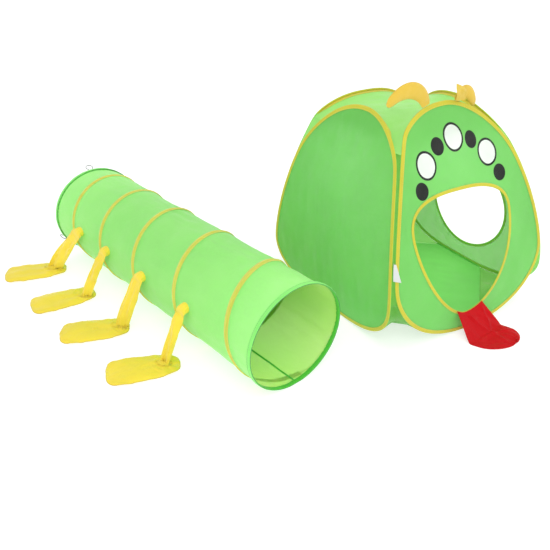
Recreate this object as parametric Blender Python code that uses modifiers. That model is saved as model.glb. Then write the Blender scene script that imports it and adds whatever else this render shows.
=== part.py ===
# Play tent with a crawl tunnel, made of sprung wire hoops, a sprung wire coil and sewn cloth.
# Metres, +Z up. The origin is the middle of the tent's floor, on the ground.
# The tunnel runs along Y beside the tent, and the tent is turned a little from it.
# In the tent's own frame its face looks along -Y, and its solid wall faces the tunnel along -X.

import math

import bmesh
import bpy
from mathutils import Matrix, Vector

# Cloth, tapes and clearances
CLOTH = 0.0008
GAP = 0.0003
HOOP_WIRE_RADIUS = 0.0018
HOOP_TAPE_WIDTH = 0.015
OPENING_TAPE_WIDTH = 0.012
HOOP_SPACING = 0.012
HOOP_STEPS = 40

# Tent walls: distance from the middle at belt height, lean above it, and how far the bow draws
# the wall in at a bow span above or below the belt
BELT_HEIGHT = 0.45
BOW_SPAN = 0.50
TENT_TURN = math.radians(-11.0)
FRONT_REACH = 0.463
FRONT_LEAN = 0.331
FRONT_BOW = 0.0838
FRONT_HEIGHT = 0.972
FRONT_WIDEST = 0.36
BACK_REACH = 0.424
BACK_LEAN = 0.150
BACK_BOW = 0.030
BACK_HEIGHT = 0.912
SIDE_REACH = 0.436
SIDE_LEAN = 0.210
SIDE_BOW = 0.0837
SIDE_HEIGHT = 0.933
SIDE_WIDEST = 0.26
HOOP_FULLNESS = 0.012
CORNER_SOFTNESS = 0.008
# Roundness of each hoop's corners, as (toward the wall on its left, toward the wall on its right)
FRONT_UPPER_ROUNDNESS = (2.30, 1.85)
FRONT_LOWER_ROUNDNESS = (2.20, 2.05)
BACK_UPPER_ROUNDNESS = (2.30, 2.50)
BACK_LOWER_ROUNDNESS = (2.20, 2.20)
RIGHT_UPPER_ROUNDNESS = (1.85, 2.20)
LEFT_UPPER_ROUNDNESS = (2.20, 1.85)
SIDE_LOWER_ROUNDNESS = (2.90, 2.90)
GUSSET_FOOT = 0.004
GUSSET_STEPS = 12
GUSSET_FOLD_HEIGHT = 0.24
UPPER_GUSSET_FOOT = 0.80
ROOF_STEPS = 10
PANEL_RINGS = 4

# Mouth in the front wall, and the round port in the far side wall
MOUTH_SHIFT = -0.038
MOUTH_TOP = 0.637
MOUTH_BOTTOM = 0.092
MOUTH_HALF_WIDTH = 0.281
MOUTH_SHOULDER = 0.500
MOUTH_UPPER_ROUNDNESS = 2.7
MOUTH_LOWER_ROUNDNESS = 1.55
PORT_RADIUS = 0.250
PORT_HEIGHT = 0.348
PORT_SHIFT = -0.018

# Tongue: a cloth strip from the mouth's lower edge to the ground in front
TONGUE_ROOT_SHIFT = 0.023
TONGUE_ROOT_HALF_WIDTH = 0.077
TONGUE_HALF_WIDTH = 0.121
TONGUE_SLOPE = 0.090
TONGUE_SLOPE_DRIFT = 0.035
TONGUE_LIE = 0.120
TONGUE_LIE_DRIFT = 0.058
TONGUE_TURN = math.radians(10.0)
TONGUE_KNEE = 0.018
TONGUE_CLOTH = 0.0014

# Antennae: padded crescents on the crown of the front hoop
ANTENNA_THICKNESS = 0.016
LEFT_ANTENNA_ROOT = -0.112
LEFT_ANTENNA_WIDTH = 0.062
LEFT_ANTENNA_RISE = 0.118
LEFT_ANTENNA_REACH = 0.226
LEFT_ANTENNA_TIP = 0.050
LEFT_ANTENNA_LEAN = 0.0
RIGHT_ANTENNA_ROOT = 0.066
RIGHT_ANTENNA_WIDTH = 0.052
RIGHT_ANTENNA_RISE = 0.086
RIGHT_ANTENNA_REACH = 0.094
RIGHT_ANTENNA_TIP = 0.006
RIGHT_ANTENNA_LEAN = -0.022

# Care label in the near corner seam
LABEL_WIDTH = 0.034
LABEL_LENGTH = 0.068
LABEL_THICKNESS = 0.0010
LABEL_TOP = 0.423
LABEL_STEM = 0.012

# Tunnel: an oval tube of cloth on a sprung coil between two end rings
TUNNEL_OFFSET_X = -0.988
TUNNEL_OFFSET_Y = 0.528
TUNNEL_LENGTH = 1.656
SKIN_RADIUS = 0.2275
TUNNEL_OVAL = 1.05
TUNNEL_SIDES = 24
COIL_WIRE_RADIUS = 0.0015
COIL_TAPE_WIDTH = 0.018
COIL_FIRST_BAND = 0.233
COIL_PITCH = 0.369
COIL_CLOSING = 0.0125
END_HEM_WIDTH = 0.018
SEAM_WIDTH = 0.009
TIE_RADIUS = 0.0015
TIE_REACH = 0.035
TIE_SPREAD = 0.018

# Legs and feet: four pairs, each beside a band of the coil
LEG_BANDS = (4, 3, 2, 1)
LEG_BESIDE_BAND = (0.070, 0.061, 0.073, 0.078)
LEG_HEIGHT = 0.265
LEG_SLANTS = (0.181, 0.087, 0.057, 0.035)
LEG_WIDTHS = (0.100, 0.062, 0.078, 0.052)
LEG_TWIST = math.radians(38.0)
LEG_THICKNESS = 0.020
LEG_SPREAD = 0.083
ROOT_DEPTH = 0.022
ROOT_WIDTH = 0.048
ROOT_TALL = 0.040
OUTER_FOOT_TURNS = (26.0, 14.0, 30.0, 26.0)
INNER_FOOT_TURNS = (26.0, 14.0, 30.0, 60.0)
FOOT_ASIDES = (0.0, 0.030, 0.0, -0.006)
FOOT_LENGTH = 0.310
FOOT_TOE_WIDTH = 0.192
FOOT_HEEL_WIDTH = 0.140
FOOT_THICKNESS = 0.016
FOOT_ROUNDNESS = 2.9
ANKLES_FROM_HEEL = (0.060, 0.055, 0.034, 0.062)

UP = Vector((0.0, 0.0, 1.0))
HOOP_REACH = HOOP_WIRE_RADIUS + GAP + CLOTH
GROUND_CLEAR = 1.12 * HOOP_REACH


# Scene, materials and objects

for old in list(bpy.data.objects):
    bpy.data.objects.remove(old, do_unlink=True)

PARTS = bpy.data.collections.new("play_tent_with_tunnel")
bpy.context.scene.collection.children.link(PARTS)


def material(name, colour, roughness, metallic=0.0):
    made = bpy.data.materials.new(name)
    made.use_nodes = True
    shader = made.node_tree.nodes["Principled BSDF"]
    shader.inputs["Base Color"].default_value = (*colour, 1.0)
    shader.inputs["Roughness"].default_value = roughness
    shader.inputs["Metallic"].default_value = metallic
    return made


def own_material(base, name):
    made = base.copy()
    made.name = name + "_material"
    return made


GREEN = material("green_polyester", (0.24, 0.68, 0.17), 0.62)
YELLOW = material("yellow_polyester", (0.84, 0.66, 0.08), 0.60)
TAPE = material("yellow_binding_tape", (0.66, 0.60, 0.06), 0.65)
DARK_GREEN = material("green_hem_cloth", (0.09, 0.47, 0.13), 0.62)
RED = material("red_polyester", (0.62, 0.02, 0.03), 0.60)
WHITE = material("white_satin_label", (0.85, 0.85, 0.86), 0.50)
STEEL = material("spring_steel", (0.50, 0.50, 0.50), 0.35, 1.0)

GROUP_PLACES = {}


def group_frame(name, place, turn=0.0):
    empty = bpy.data.objects.new(name, None)
    PARTS.objects.link(empty)
    empty.location = place
    empty.rotation_euler = (0.0, 0.0, turn)
    GROUP_PLACES[name] = Vector((0.0, 0.0, 0.0))
    return empty


def pivot(name, place, parent):
    """An empty on a joint axis; place is in the frame of the whole group."""
    empty = bpy.data.objects.new(name, None)
    PARTS.objects.link(empty)
    empty.parent = parent
    empty.location = Vector(place) - GROUP_PLACES[parent.name]
    GROUP_PLACES[name] = Vector(place)
    return empty


def add(name, data, base, parent, smooth=True):
    """An object whose data is written in its group's frame, hung on a pivot of that group."""
    made = bpy.data.objects.new(name, data)
    PARTS.objects.link(made)
    made.parent = parent
    made.location = -GROUP_PLACES[parent.name]
    data.materials.append(own_material(base, name))
    if smooth and data is not None and isinstance(data, bpy.types.Mesh):
        data.shade_smooth()
        data.set_sharp_from_angle(angle=math.radians(40.0))
    return made


def loft(name, rows, close_rows=False, close_columns=False, cap_first=False, cap_last=False):
    """A mesh through rows of points. close_rows joins each row's ends, close_columns the last row
    to the first, and the caps fill the first and last row of a closed-row loft."""
    mesh = bpy.data.meshes.new(name)
    work = bmesh.new()
    grid = [[work.verts.new(point) for point in row] for row in rows]
    count = len(rows[0])
    row_pairs = list(zip(grid, grid[1:]))
    if close_columns:
        row_pairs.append((grid[-1], grid[0]))
    columns = count if close_rows else count - 1
    for low, high in row_pairs:
        for i in range(columns):
            j = (i + 1) % count
            work.faces.new((low[i], low[j], high[j], high[i]))
    if cap_first:
        work.faces.new(list(reversed(grid[0])))
    if cap_last:
        work.faces.new(grid[-1])
    bmesh.ops.recalc_face_normals(work, faces=work.faces[:])
    work.to_mesh(mesh)
    work.free()
    return mesh


def thicken(made, thickness):
    solid = made.modifiers.new("cloth_thickness", "SOLIDIFY")
    solid.thickness = thickness
    solid.offset = 0.0
    solid.use_even_offset = True
    return made


def wire(name, points, radius, resolution, closed, base, parent):
    curve = bpy.data.curves.new(name, "CURVE")
    curve.dimensions = "3D"
    curve.bevel_depth = radius
    curve.bevel_resolution = resolution
    curve.use_fill_caps = not closed
    spline = curve.splines.new("POLY")
    spline.points.add(len(points) - 1)
    for knot, point in zip(spline.points, points):
        knot.co = (*point, 1.0)
    spline.use_cyclic_u = closed
    return add(name, curve, base, parent)


# Outlines in a wall's own plane, as (u, z) pairs

def soft_min(first, second):
    """The smaller of two lengths, rounded over where they meet."""
    low = min(first, second)
    spread = abs(first - second) / CORNER_SOFTNESS
    return low - CORNER_SOFTNESS * math.log(1.0 + math.exp(-spread))


def rounded(angle, half_width, widest, low, high, upper, lower):
    """A point on an oval whose halves above and below its widest line differ; angle 0 is the top."""
    side = math.sin(angle)
    rise = math.cos(angle)
    power = 2.0 / (upper if rise > 0.0 else lower)
    reach = (high - widest) if rise > 0.0 else (widest - low)
    across = half_width * abs(side) ** power
    return math.copysign(across, side), widest + math.copysign(reach * abs(rise) ** power, rise)


def even_steps(curve, count):
    """count points at equal spacing round a closed curve given by its angle."""
    fine = 720
    trail = [Vector(curve(2.0 * math.pi * i / fine)) for i in range(fine + 1)]
    lengths = [0.0]
    for start, end in zip(trail, trail[1:]):
        lengths.append(lengths[-1] + (end - start).length)
    chosen = []
    at = 0
    for i in range(count):
        wanted = lengths[-1] * i / count
        while lengths[at + 1] < wanted:
            at += 1
        share = (wanted - lengths[at]) / (lengths[at + 1] - lengths[at])
        chosen.append(trail[at].lerp(trail[at + 1], share))
    return chosen


def inward_normals(points):
    """Unit vectors into a closed outline that runs clockwise from its top."""
    normals = []
    count = len(points)
    for i in range(count):
        along = points[(i + 1) % count] - points[i - 1]
        normals.append(Vector((-along.y, along.x)).normalized() * -1.0)
    return normals


class Wall:
    """One side of the tent: u runs along it, z up, and n outward from the middle of its cloth."""

    def __init__(self, turn, reach, lean, bow, widest, height, upper, lower):
        turned = Matrix.Rotation(turn, 3, "Z")
        self.out = turned @ Vector((0.0, -1.0, 0.0))
        self.along = turned @ Vector((1.0, 0.0, 0.0))
        self.reach = reach
        self.lean = lean
        self.bow = bow
        self.widest = widest
        self.height = height
        self.upper = upper
        self.lower = lower
        self.neighbours = {}

    def distance(self, z):
        rise = z - BELT_HEIGHT
        return self.reach - self.lean * rise - self.bow * (rise / BOW_SPAN) ** 2

    def normal(self, z):
        slope = -self.lean - 2.0 * self.bow * (z - BELT_HEIGHT) / BOW_SPAN ** 2
        return (self.out - UP * slope).normalized()

    def point(self, u, z, n=0.0):
        return self.out * self.distance(z) + self.along * u + UP * z + self.normal(z) * n

    def hoop(self, angle):
        hand = math.sin(angle) > 0.0
        neighbour = self.neighbours[hand]
        half_width = neighbour.distance(self.widest) - HOOP_SPACING + HOOP_FULLNESS
        u, z = rounded(angle, half_width, self.widest, GROUND_CLEAR, self.height,
                       self.upper[hand], self.lower[hand])
        return math.copysign(soft_min(abs(u), neighbour.distance(z) - HOOP_SPACING), u), z

    def angle_at(self, z, hand):
        """The hoop's angle from its top where its wire is at height z; hand is -1 or 1."""
        if z > self.widest:
            share = (z - self.widest) / (self.height - self.widest)
            return hand * math.acos(share ** (self.upper[hand > 0.0] / 2.0))
        share = (self.widest - z) / (self.widest - GROUND_CLEAR)
        return hand * (math.pi - math.acos(share ** (self.lower[hand > 0.0] / 2.0)))

    def cloth_edge(self, angle):
        """Where a sheet sewn to the hoop's outer, inner-facing tape corner starts."""
        step = 0.01
        u, z = self.hoop(angle)
        ahead = Vector(self.hoop(angle + step))
        behind = Vector(self.hoop(angle - step))
        along = (ahead - behind).normalized()
        outward = Vector((-along.y, along.x))
        if outward.dot(Vector((u, z - self.widest))) < 0.0:
            outward = -outward
        wire_middle = self.point(u, z)
        crown = (self.point(u + outward.x * 0.01, z + outward.y * 0.01) - wire_middle).normalized()
        reach = HOOP_REACH + (GAP + 0.5 * CLOTH) / math.sqrt(2.0)
        return wire_middle + crown * reach - self.normal(z) * reach


def left_or_right(turn, upper):
    return Wall(turn, SIDE_REACH, SIDE_LEAN, SIDE_BOW, SIDE_WIDEST, SIDE_HEIGHT, upper, SIDE_LOWER_ROUNDNESS)


WALLS = {
    "front": Wall(0.0, FRONT_REACH, FRONT_LEAN, FRONT_BOW, FRONT_WIDEST, FRONT_HEIGHT,
                  FRONT_UPPER_ROUNDNESS, FRONT_LOWER_ROUNDNESS),
    "right": left_or_right(0.5 * math.pi, RIGHT_UPPER_ROUNDNESS),
    "back": Wall(math.pi, BACK_REACH, BACK_LEAN, BACK_BOW, FRONT_WIDEST, BACK_HEIGHT,
                 BACK_UPPER_ROUNDNESS, BACK_LOWER_ROUNDNESS),
    "left": left_or_right(-0.5 * math.pi, LEFT_UPPER_ROUNDNESS),
}
for side_name, low_side, high_side in (("front", "left", "right"), ("right", "front", "back"),
                                       ("back", "right", "left"), ("left", "back", "front")):
    WALLS[side_name].neighbours = {False: WALLS[low_side], True: WALLS[high_side]}


def mouth_outline(angle):
    u, z = rounded(angle, MOUTH_HALF_WIDTH, MOUTH_SHOULDER, MOUTH_BOTTOM, MOUTH_TOP,
                   MOUTH_UPPER_ROUNDNESS, MOUTH_LOWER_ROUNDNESS)
    return u + MOUTH_SHIFT, z


def port_outline(angle):
    return PORT_SHIFT + PORT_RADIUS * math.sin(angle), PORT_HEIGHT + PORT_RADIUS * math.cos(angle)


# Tent

def folded_tape(name, wall, points, inward, half_hollow, width, base, parent):
    """Tape folded over an edge: two legs and a crown, open on the side where the panel enters."""
    side = half_hollow + 0.5 * CLOTH
    section = ((width, side), (-side, side), (-side, -side), (width, -side))
    rows = []
    for point, normal in zip(points, inward):
        rows.append([wall.point(*(point + normal * depth), offset) for depth, offset in section])
    mesh = loft(name, rows, close_columns=True)
    return thicken(add(name, mesh, base, parent), CLOTH)


def hole_edge(outline):
    points = even_steps(outline, HOOP_STEPS)
    away = [-normal for normal in inward_normals(points)]
    return points, away


def wall_panel(name, wall, hoop_points, hoop_inward, outline, parent):
    """A wall's cloth, from just inside its hoop's wire to its opening's edge or its middle."""
    hem = HOOP_WIRE_RADIUS + GAP + 0.0004
    outer = [point + normal * hem for point, normal in zip(hoop_points, hoop_inward)]
    if outline:
        points, away = hole_edge(outline)
        inner = [point + normal * (2.0 * GAP + CLOTH) for point, normal in zip(points, away)]
    else:
        middle = Vector((0.0, 0.5 * (wall.height + GROUND_CLEAR)))
        inner = [middle + (point - middle) * 0.12 for point in outer]
    rows = []
    for ring in range(PANEL_RINGS + 1):
        share = ring / PANEL_RINGS
        rows.append([wall.point(*start.lerp(end, share)) for start, end in zip(outer, inner)])
    mesh = loft(name, rows, close_rows=True, cap_last=not outline)
    return thicken(add(name, mesh, GREEN, parent), CLOTH)


def tent_side(side_name, parent, outline=None):
    wall = WALLS[side_name]
    points = even_steps(wall.hoop, HOOP_STEPS)
    inward = inward_normals(points)
    wire(side_name + "_hoop", [wall.point(*point) for point in points], HOOP_WIRE_RADIUS, 1, True,
         STEEL, parent)
    folded_tape(side_name + "_hoop_tape", wall, points, inward, HOOP_WIRE_RADIUS + GAP,
                HOOP_TAPE_WIDTH, TAPE, parent)
    wall_panel(side_name + "_wall", wall, points, inward, outline, parent)


def opening_tape(name, side_name, outline, parent):
    points, away = hole_edge(outline)
    folded_tape(name, WALLS[side_name], points, away, GAP + 0.5 * CLOTH, OPENING_TAPE_WIDTH, TAPE, parent)


CORNERS = {
    "front_left": ("front", -1.0, "left", 1.0),
    "front_right": ("front", 1.0, "right", -1.0),
    "back_right": ("back", -1.0, "right", 1.0),
    "back_left": ("back", 1.0, "left", -1.0),
}


def corner_edges(corner, z):
    """The two sewing edges of a corner at height z, on its front or back hoop and its side hoop."""
    first, first_side, second, second_side = CORNERS[corner]
    edges = []
    for side_name, hand in ((first, first_side), (second, second_side)):
        wall = WALLS[side_name]
        edges.append(wall.cloth_edge(wall.angle_at(z, hand)))
    return edges


def floor_corners():
    """The floor's outline: it meets each hoop where the hoop is near the ground."""
    corners = []
    for side_name in ("front", "right", "back", "left"):
        wall = WALLS[side_name]
        edge = wall.distance(0.0) - HOOP_REACH - GAP
        for hand in (-1.0, 1.0):
            u, z = wall.hoop(wall.angle_at(GROUND_CLEAR + GUSSET_FOOT, hand))
            corners.append(wall.out * edge + wall.along * u)
    return corners


def tent_floor(parent):
    curve = bpy.data.curves.new("floor", "CURVE")
    curve.dimensions = "2D"
    curve.fill_mode = "BOTH"
    curve.extrude = 0.5 * CLOTH
    spline = curve.splines.new("POLY")
    corners = floor_corners()
    spline.points.add(len(corners) - 1)
    for knot, corner in zip(spline.points, corners):
        knot.co = (corner.x, corner.y, 0.0, 1.0)
    spline.use_cyclic_u = True
    made = add("floor", curve, GREEN, parent)
    made.location.z += 0.5 * CLOTH


def trimmed(start, end):
    along = (end - start).normalized()
    return start + along * GAP, end - along * GAP


def corner_gusset(corner, parent):
    """The strip between two hoops at a corner: wide at the floor, where it is folded inward along
    its middle, and a narrow seam above that hinges the hoops."""
    names = ("front", "right", "back", "left")
    first, first_side, second, second_side = CORNERS[corner]
    floor_points = floor_corners()
    feet = []
    for side_name, hand in ((first, first_side), (second, second_side)):
        foot = floor_points[2 * names.index(side_name) + (1 if hand > 0.0 else 0)]
        feet.append(foot + UP * (1.5 * CLOTH + GAP))
    rows = [feet]
    low = GROUND_CLEAR + GUSSET_FOOT
    top = UPPER_GUSSET_FOOT - CLOTH
    for i in range(GUSSET_STEPS + 1):
        share = (i / GUSSET_STEPS) ** 1.4
        rows.append(trimmed(*corner_edges(corner, low + (top - low) * share)))
    middles = [start.lerp(end, 0.5) for start, end in rows]
    fold_top = next(i for i, middle in enumerate(middles) if middle.z > GUSSET_FOLD_HEIGHT)
    for i in range(1, fold_top):
        start, end = rows[i]
        height_share = middles[i].z / middles[fold_top].z
        fold = middles[0].lerp(middles[fold_top], height_share) - middles[i]
        deepest = 0.5 * (end - start).length
        middles[i] = middles[i] + fold * min(1.0, deepest / fold.length)
    mesh = loft(corner + "_gusset", [[start, middle, end] for (start, end), middle in zip(rows, middles)])
    thicken(add(corner + "_gusset", mesh, GREEN, parent), CLOTH)


def roof_edge(side_name):
    """Points along a hoop's crown, from the corner on its left to the corner on its right."""
    wall = WALLS[side_name]
    start = wall.angle_at(UPPER_GUSSET_FOOT, -1.0)
    end = wall.angle_at(UPPER_GUSSET_FOOT, 1.0)
    return [wall.cloth_edge(start + (end - start) * i / ROOF_STEPS) for i in range(ROOF_STEPS + 1)]


def tent_roof(parent):
    """A stretched sheet between the four crowns, drawn down into each corner."""
    last = ROOF_STEPS
    front = roof_edge("front")
    right = roof_edge("right")
    back = list(reversed(roof_edge("back")))
    left = list(reversed(roof_edge("left")))
    grid = [[front[i].lerp(back[i], j / last) for i in range(last + 1)] for j in range(last + 1)]
    for i in range(last + 1):
        grid[0][i] = front[i]
        grid[last][i] = back[i]
        grid[i][0] = left[i]
        grid[i][last] = right[i]
    grid[0][0] = 0.5 * (front[0] + left[0])
    grid[0][last] = 0.5 * (front[last] + right[0])
    grid[last][0] = 0.5 * (back[0] + left[last])
    grid[last][last] = 0.5 * (back[last] + right[last])
    for _ in range(150):
        for j in range(1, last):
            for i in range(1, last):
                around = grid[j - 1][i] + grid[j + 1][i] + grid[j][i - 1] + grid[j][i + 1]
                grid[j][i] = around / 4.0
    mesh = loft("roof", grid)
    thicken(add("roof", mesh, GREEN, parent), CLOTH)


def mouth_foot(u):
    """Height of the mouth's lower edge at u."""
    share = (abs(u - MOUTH_SHIFT) / MOUTH_HALF_WIDTH) ** MOUTH_LOWER_ROUNDNESS
    return MOUTH_SHOULDER - (MOUTH_SHOULDER - MOUTH_BOTTOM) * (1.0 - share) ** (1.0 / MOUTH_LOWER_ROUNDNESS)


def tongue(parent):
    """Sewn along the mouth's lower edge, down and out to the ground, then flat to a rounded tip."""
    wall = WALLS["front"]
    across = 8
    shares = [2.0 * i / across - 1.0 for i in range(across + 1)]
    outside = HOOP_REACH + TONGUE_CLOTH
    root_u = MOUTH_SHIFT + TONGUE_ROOT_SHIFT
    root = wall.point(root_u, mouth_foot(root_u), outside)
    fold = Vector((root_u + TONGUE_SLOPE_DRIFT, root.y - TONGUE_SLOPE, 0.5 * TONGUE_CLOTH))
    tip = fold + Vector((TONGUE_LIE_DRIFT, -TONGUE_LIE, 0.0))
    rows = []
    row = []
    for share in shares:
        u = root_u + share * TONGUE_ROOT_HALF_WIDTH
        row.append(wall.point(u, mouth_foot(u), outside))
    rows.append(row)
    fold_side = Vector((math.cos(TONGUE_TURN), math.sin(TONGUE_TURN), 0.0)) * TONGUE_HALF_WIDTH
    knee = Vector((0.0, TONGUE_KNEE, 0.5 * TONGUE_KNEE))
    fold_row = [fold + knee + fold_side * share for share in shares]
    rows.append([start.lerp(end, 0.5) for start, end in zip(row, fold_row)])
    rows.append(fold_row)
    for along in (0.0, 0.35, 0.65, 0.85, 0.96, 1.0):
        rounding = math.sqrt(max(1.0 - max(along - 0.25, 0.0) ** 2 / 0.5725, 0.0))
        rows.append([fold.lerp(tip, along) + fold_side * share * rounding for share in shares])
    mesh = loft("tongue", rows)
    thicken(add("tongue", mesh, RED, parent), TONGUE_CLOTH)


def pad(name, stations, base, parent, sides=10):
    """A padded strip: each station is its middle, half width vector and half thickness vector."""
    rows = []
    for middle, wide, thick in stations:
        row = []
        for i in range(sides):
            angle = 2.0 * math.pi * i / sides
            row.append(middle + wide * math.cos(angle) + thick * math.sin(angle))
        rows.append(row)
    mesh = loft(name, rows, close_rows=True, cap_first=True, cap_last=True)
    return add(name, mesh, base, parent)


def antenna_root(u):
    """The hoop's wire below an antenna, as (u, z), with the hoop's direction and its outward one."""
    wall = WALLS["front"]
    share = abs(u) / wall.neighbours[u > 0.0].distance(wall.widest)
    angle = math.copysign(math.asin(share ** (wall.upper[u > 0.0] / 2.0)), u)
    root = Vector(wall.hoop(angle))
    tangent = (Vector(wall.hoop(angle + 0.02)) - Vector(wall.hoop(angle - 0.02))).normalized()
    tangent = tangent if tangent.x > 0.0 else -tangent
    return root, tangent, Vector((-tangent.y, tangent.x))


def bezier(points, t):
    weights = ((1.0 - t) ** 3, 3.0 * t * (1.0 - t) ** 2, 3.0 * t * t * (1.0 - t), t ** 3)
    total = points[0] * weights[0]
    for point, weight in zip(points[1:], weights[1:]):
        total = total + point * weight
    return total


def antenna(name, u, width, rise, reach, tip, lean, parent):
    """A crescent that stands on the front hoop's crown, arches outward and droops at its tip."""
    wall = WALLS["front"]
    root, tangent, away = antenna_root(u)
    foot = root + away * (1.5 * HOOP_REACH + GAP + 0.25 * abs(lean))
    hand = math.copysign(1.0, u)
    arch = (
        foot,
        foot + away * rise + Vector((hand * lean, 0.0)),
        foot + Vector((hand * reach * 0.66, rise * 1.07)),
        foot + Vector((hand * reach, tip)),
    )
    steps = 8
    stations = []
    for i in range(steps + 1):
        t = i / steps
        spot = bezier(arch, t)
        heading = (bezier(arch, t + 0.01) - bezier(arch, t - 0.01)).normalized()
        swell = 0.5 * width * (0.42 + 0.58 * math.sin(math.pi * (0.12 + 0.82 * t)))
        across = Vector((-heading.y, heading.x)) * swell * (0.35 if i == steps else 1.0)
        middle = wall.point(spot.x, root.y) + UP * (spot.y - root.y)
        wide = wall.along * across.x + UP * across.y
        thick = 0.5 * ANTENNA_THICKNESS * (0.5 if i in (0, steps) else 1.0)
        stations.append((middle, wide, wall.out * thick))
    pad(name, stations, YELLOW, parent)


def care_label(parent):
    """A small tag sewn into the near corner seam, bent round and hanging beside the front wall."""
    outward = Vector((-1.0, -1.0, 0.0)).normalized()
    across = Vector((0.80, -0.60, 0.0)) * LABEL_WIDTH
    rows = []
    for share in (0.0, 0.5, 1.0):
        front_edge, side_edge = corner_edges("front_left", LABEL_TOP - share * LABEL_LENGTH)
        root = 0.5 * (front_edge + side_edge) + outward * (2.0 * GAP + CLOTH)
        elbow = root + outward * LABEL_STEM
        rows.append([root, elbow, elbow + across + outward * 0.1 * share * LABEL_LENGTH])
    mesh = loft("care_label", rows)
    thicken(add("care_label", mesh, WHITE, parent), LABEL_THICKNESS)


def make_tent():
    tent = group_frame("tent", (0.0, 0.0, 0.0), TENT_TURN)
    hinge_x = WALLS["left"].distance(WALLS["front"].widest)
    hinge_y = WALLS["front"].distance(WALLS["front"].widest)
    front_pivot = pivot("front_corner_axis", (-hinge_x, -hinge_y, 0.0), tent)
    back_hinge_y = WALLS["back"].distance(WALLS["back"].widest)
    back_pivot = pivot("back_corner_axis", (-hinge_x, back_hinge_y, 0.0), tent)
    right_pivot = pivot("right_corner_axis", (hinge_x, -hinge_y, 0.0), front_pivot)
    tent_side("left", tent)
    tent_side("front", front_pivot, mouth_outline)
    tent_side("right", right_pivot, port_outline)
    tent_side("back", back_pivot)
    opening_tape("mouth_tape", "front", mouth_outline, front_pivot)
    opening_tape("port_tape", "right", port_outline, right_pivot)
    tent_floor(tent)
    tent_roof(tent)
    for corner in CORNERS:
        corner_gusset(corner, tent)
    care_label(tent)
    tongue_u = MOUTH_SHIFT + TONGUE_ROOT_SHIFT
    tongue_root = WALLS["front"].point(tongue_u, mouth_foot(tongue_u), HOOP_REACH)
    tongue(pivot("tongue_axis", tongue_root, front_pivot))
    for name, u, width, rise, reach, tip, lean in (
            ("left_antenna", LEFT_ANTENNA_ROOT, LEFT_ANTENNA_WIDTH, LEFT_ANTENNA_RISE, LEFT_ANTENNA_REACH,
             LEFT_ANTENNA_TIP, LEFT_ANTENNA_LEAN),
            ("right_antenna", RIGHT_ANTENNA_ROOT, RIGHT_ANTENNA_WIDTH, RIGHT_ANTENNA_RISE,
             RIGHT_ANTENNA_REACH, RIGHT_ANTENNA_TIP, RIGHT_ANTENNA_LEAN)):
        root, tangent, _ = antenna_root(u)
        place = WALLS["front"].point(*root)
        antenna(name, u, width, rise, reach, tip, lean, pivot(name + "_axis", place, front_pivot))
        print(name, [round(v, 4) for v in place], "along", [round(v, 4) for v in tangent])
    print("tongue root", [round(v, 4) for v in tongue_root])
    print("tent hinges", round(hinge_x, 4), round(hinge_y, 4), round(back_hinge_y, 4))


# Tunnel: angles run from the side that faces away from the tent, over the top; the crown is a quarter turn

COIL_WIRE_MIDDLE = SKIN_RADIUS + GAP + COIL_WIRE_RADIUS
CROWN_INSIDE = COIL_WIRE_MIDDLE + COIL_WIRE_RADIUS + 2.0 * GAP
CROWN_RADIUS = CROWN_INSIDE + CLOTH
FACET_STEP = 2.0 * math.pi / TUNNEL_SIDES
TUNNEL_MIDDLE_HEIGHT = CROWN_RADIUS * math.cos(0.5 * FACET_STEP)
NEAR_END = -0.5 * TUNNEL_LENGTH
TOP_ANGLE = 0.5 * math.pi


def around_tunnel(angle, radius, y):
    return Vector((
        -TUNNEL_OVAL * radius * math.cos(angle),
        y,
        TUNNEL_MIDDLE_HEIGHT + radius * math.sin(angle),
    ))


def facet_angle(step):
    """Vertex angles lie half a facet off the top, so that the base is flat."""
    return TOP_ANGLE + (step + 0.5) * FACET_STEP


def coil_place(step):
    """Distance of the coil from the near end after a number of facets past its first crown."""
    turns = (step + 0.5) / TUNNEL_SIDES
    return COIL_FIRST_BAND + COIL_PITCH * turns - COIL_CLOSING * turns * turns


def coil_steps(margin):
    """The facets over which the coil stays clear of both ends by the margin."""
    return [
        step for step in range(-TUNNEL_SIDES, 8 * TUNNEL_SIDES)
        if margin <= coil_place(step) <= TUNNEL_LENGTH - margin
        and coil_place(step) < coil_place(step + 1)
    ]


def tunnel_skin(parent):
    rows = []
    inset = 0.5 * CLOTH + GAP
    for y in (NEAR_END + inset + 2.0 * GAP, -NEAR_END - inset - 2.0 * GAP):
        ring = [around_tunnel(facet_angle(i), SKIN_RADIUS - 0.5 * CLOTH, y) for i in range(TUNNEL_SIDES)]
        rows.append(ring)
    mesh = loft("tunnel_skin", rows, close_rows=True)
    thicken(add("tunnel_skin", mesh, GREEN, parent), CLOTH)


def tunnel_coil(parent):
    """One unbroken spring wire from end to end, outside the skin and under its tape."""
    steps = coil_steps(3.0 * COIL_WIRE_RADIUS + 0.008)
    points = [around_tunnel(facet_angle(i), COIL_WIRE_MIDDLE, NEAR_END + coil_place(i)) for i in steps]
    turn_gaps = [coil_place(i + TUNNEL_SIDES) - coil_place(i) for i in steps if i + TUNNEL_SIDES in steps]
    print("coil turns", round(len(steps) / TUNNEL_SIDES, 2), "least gap",
          round(min(turn_gaps) - 2.0 * COIL_WIRE_RADIUS, 4))
    wire("coil_wire", points, COIL_WIRE_RADIUS, 1, False, STEEL, parent)


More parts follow.
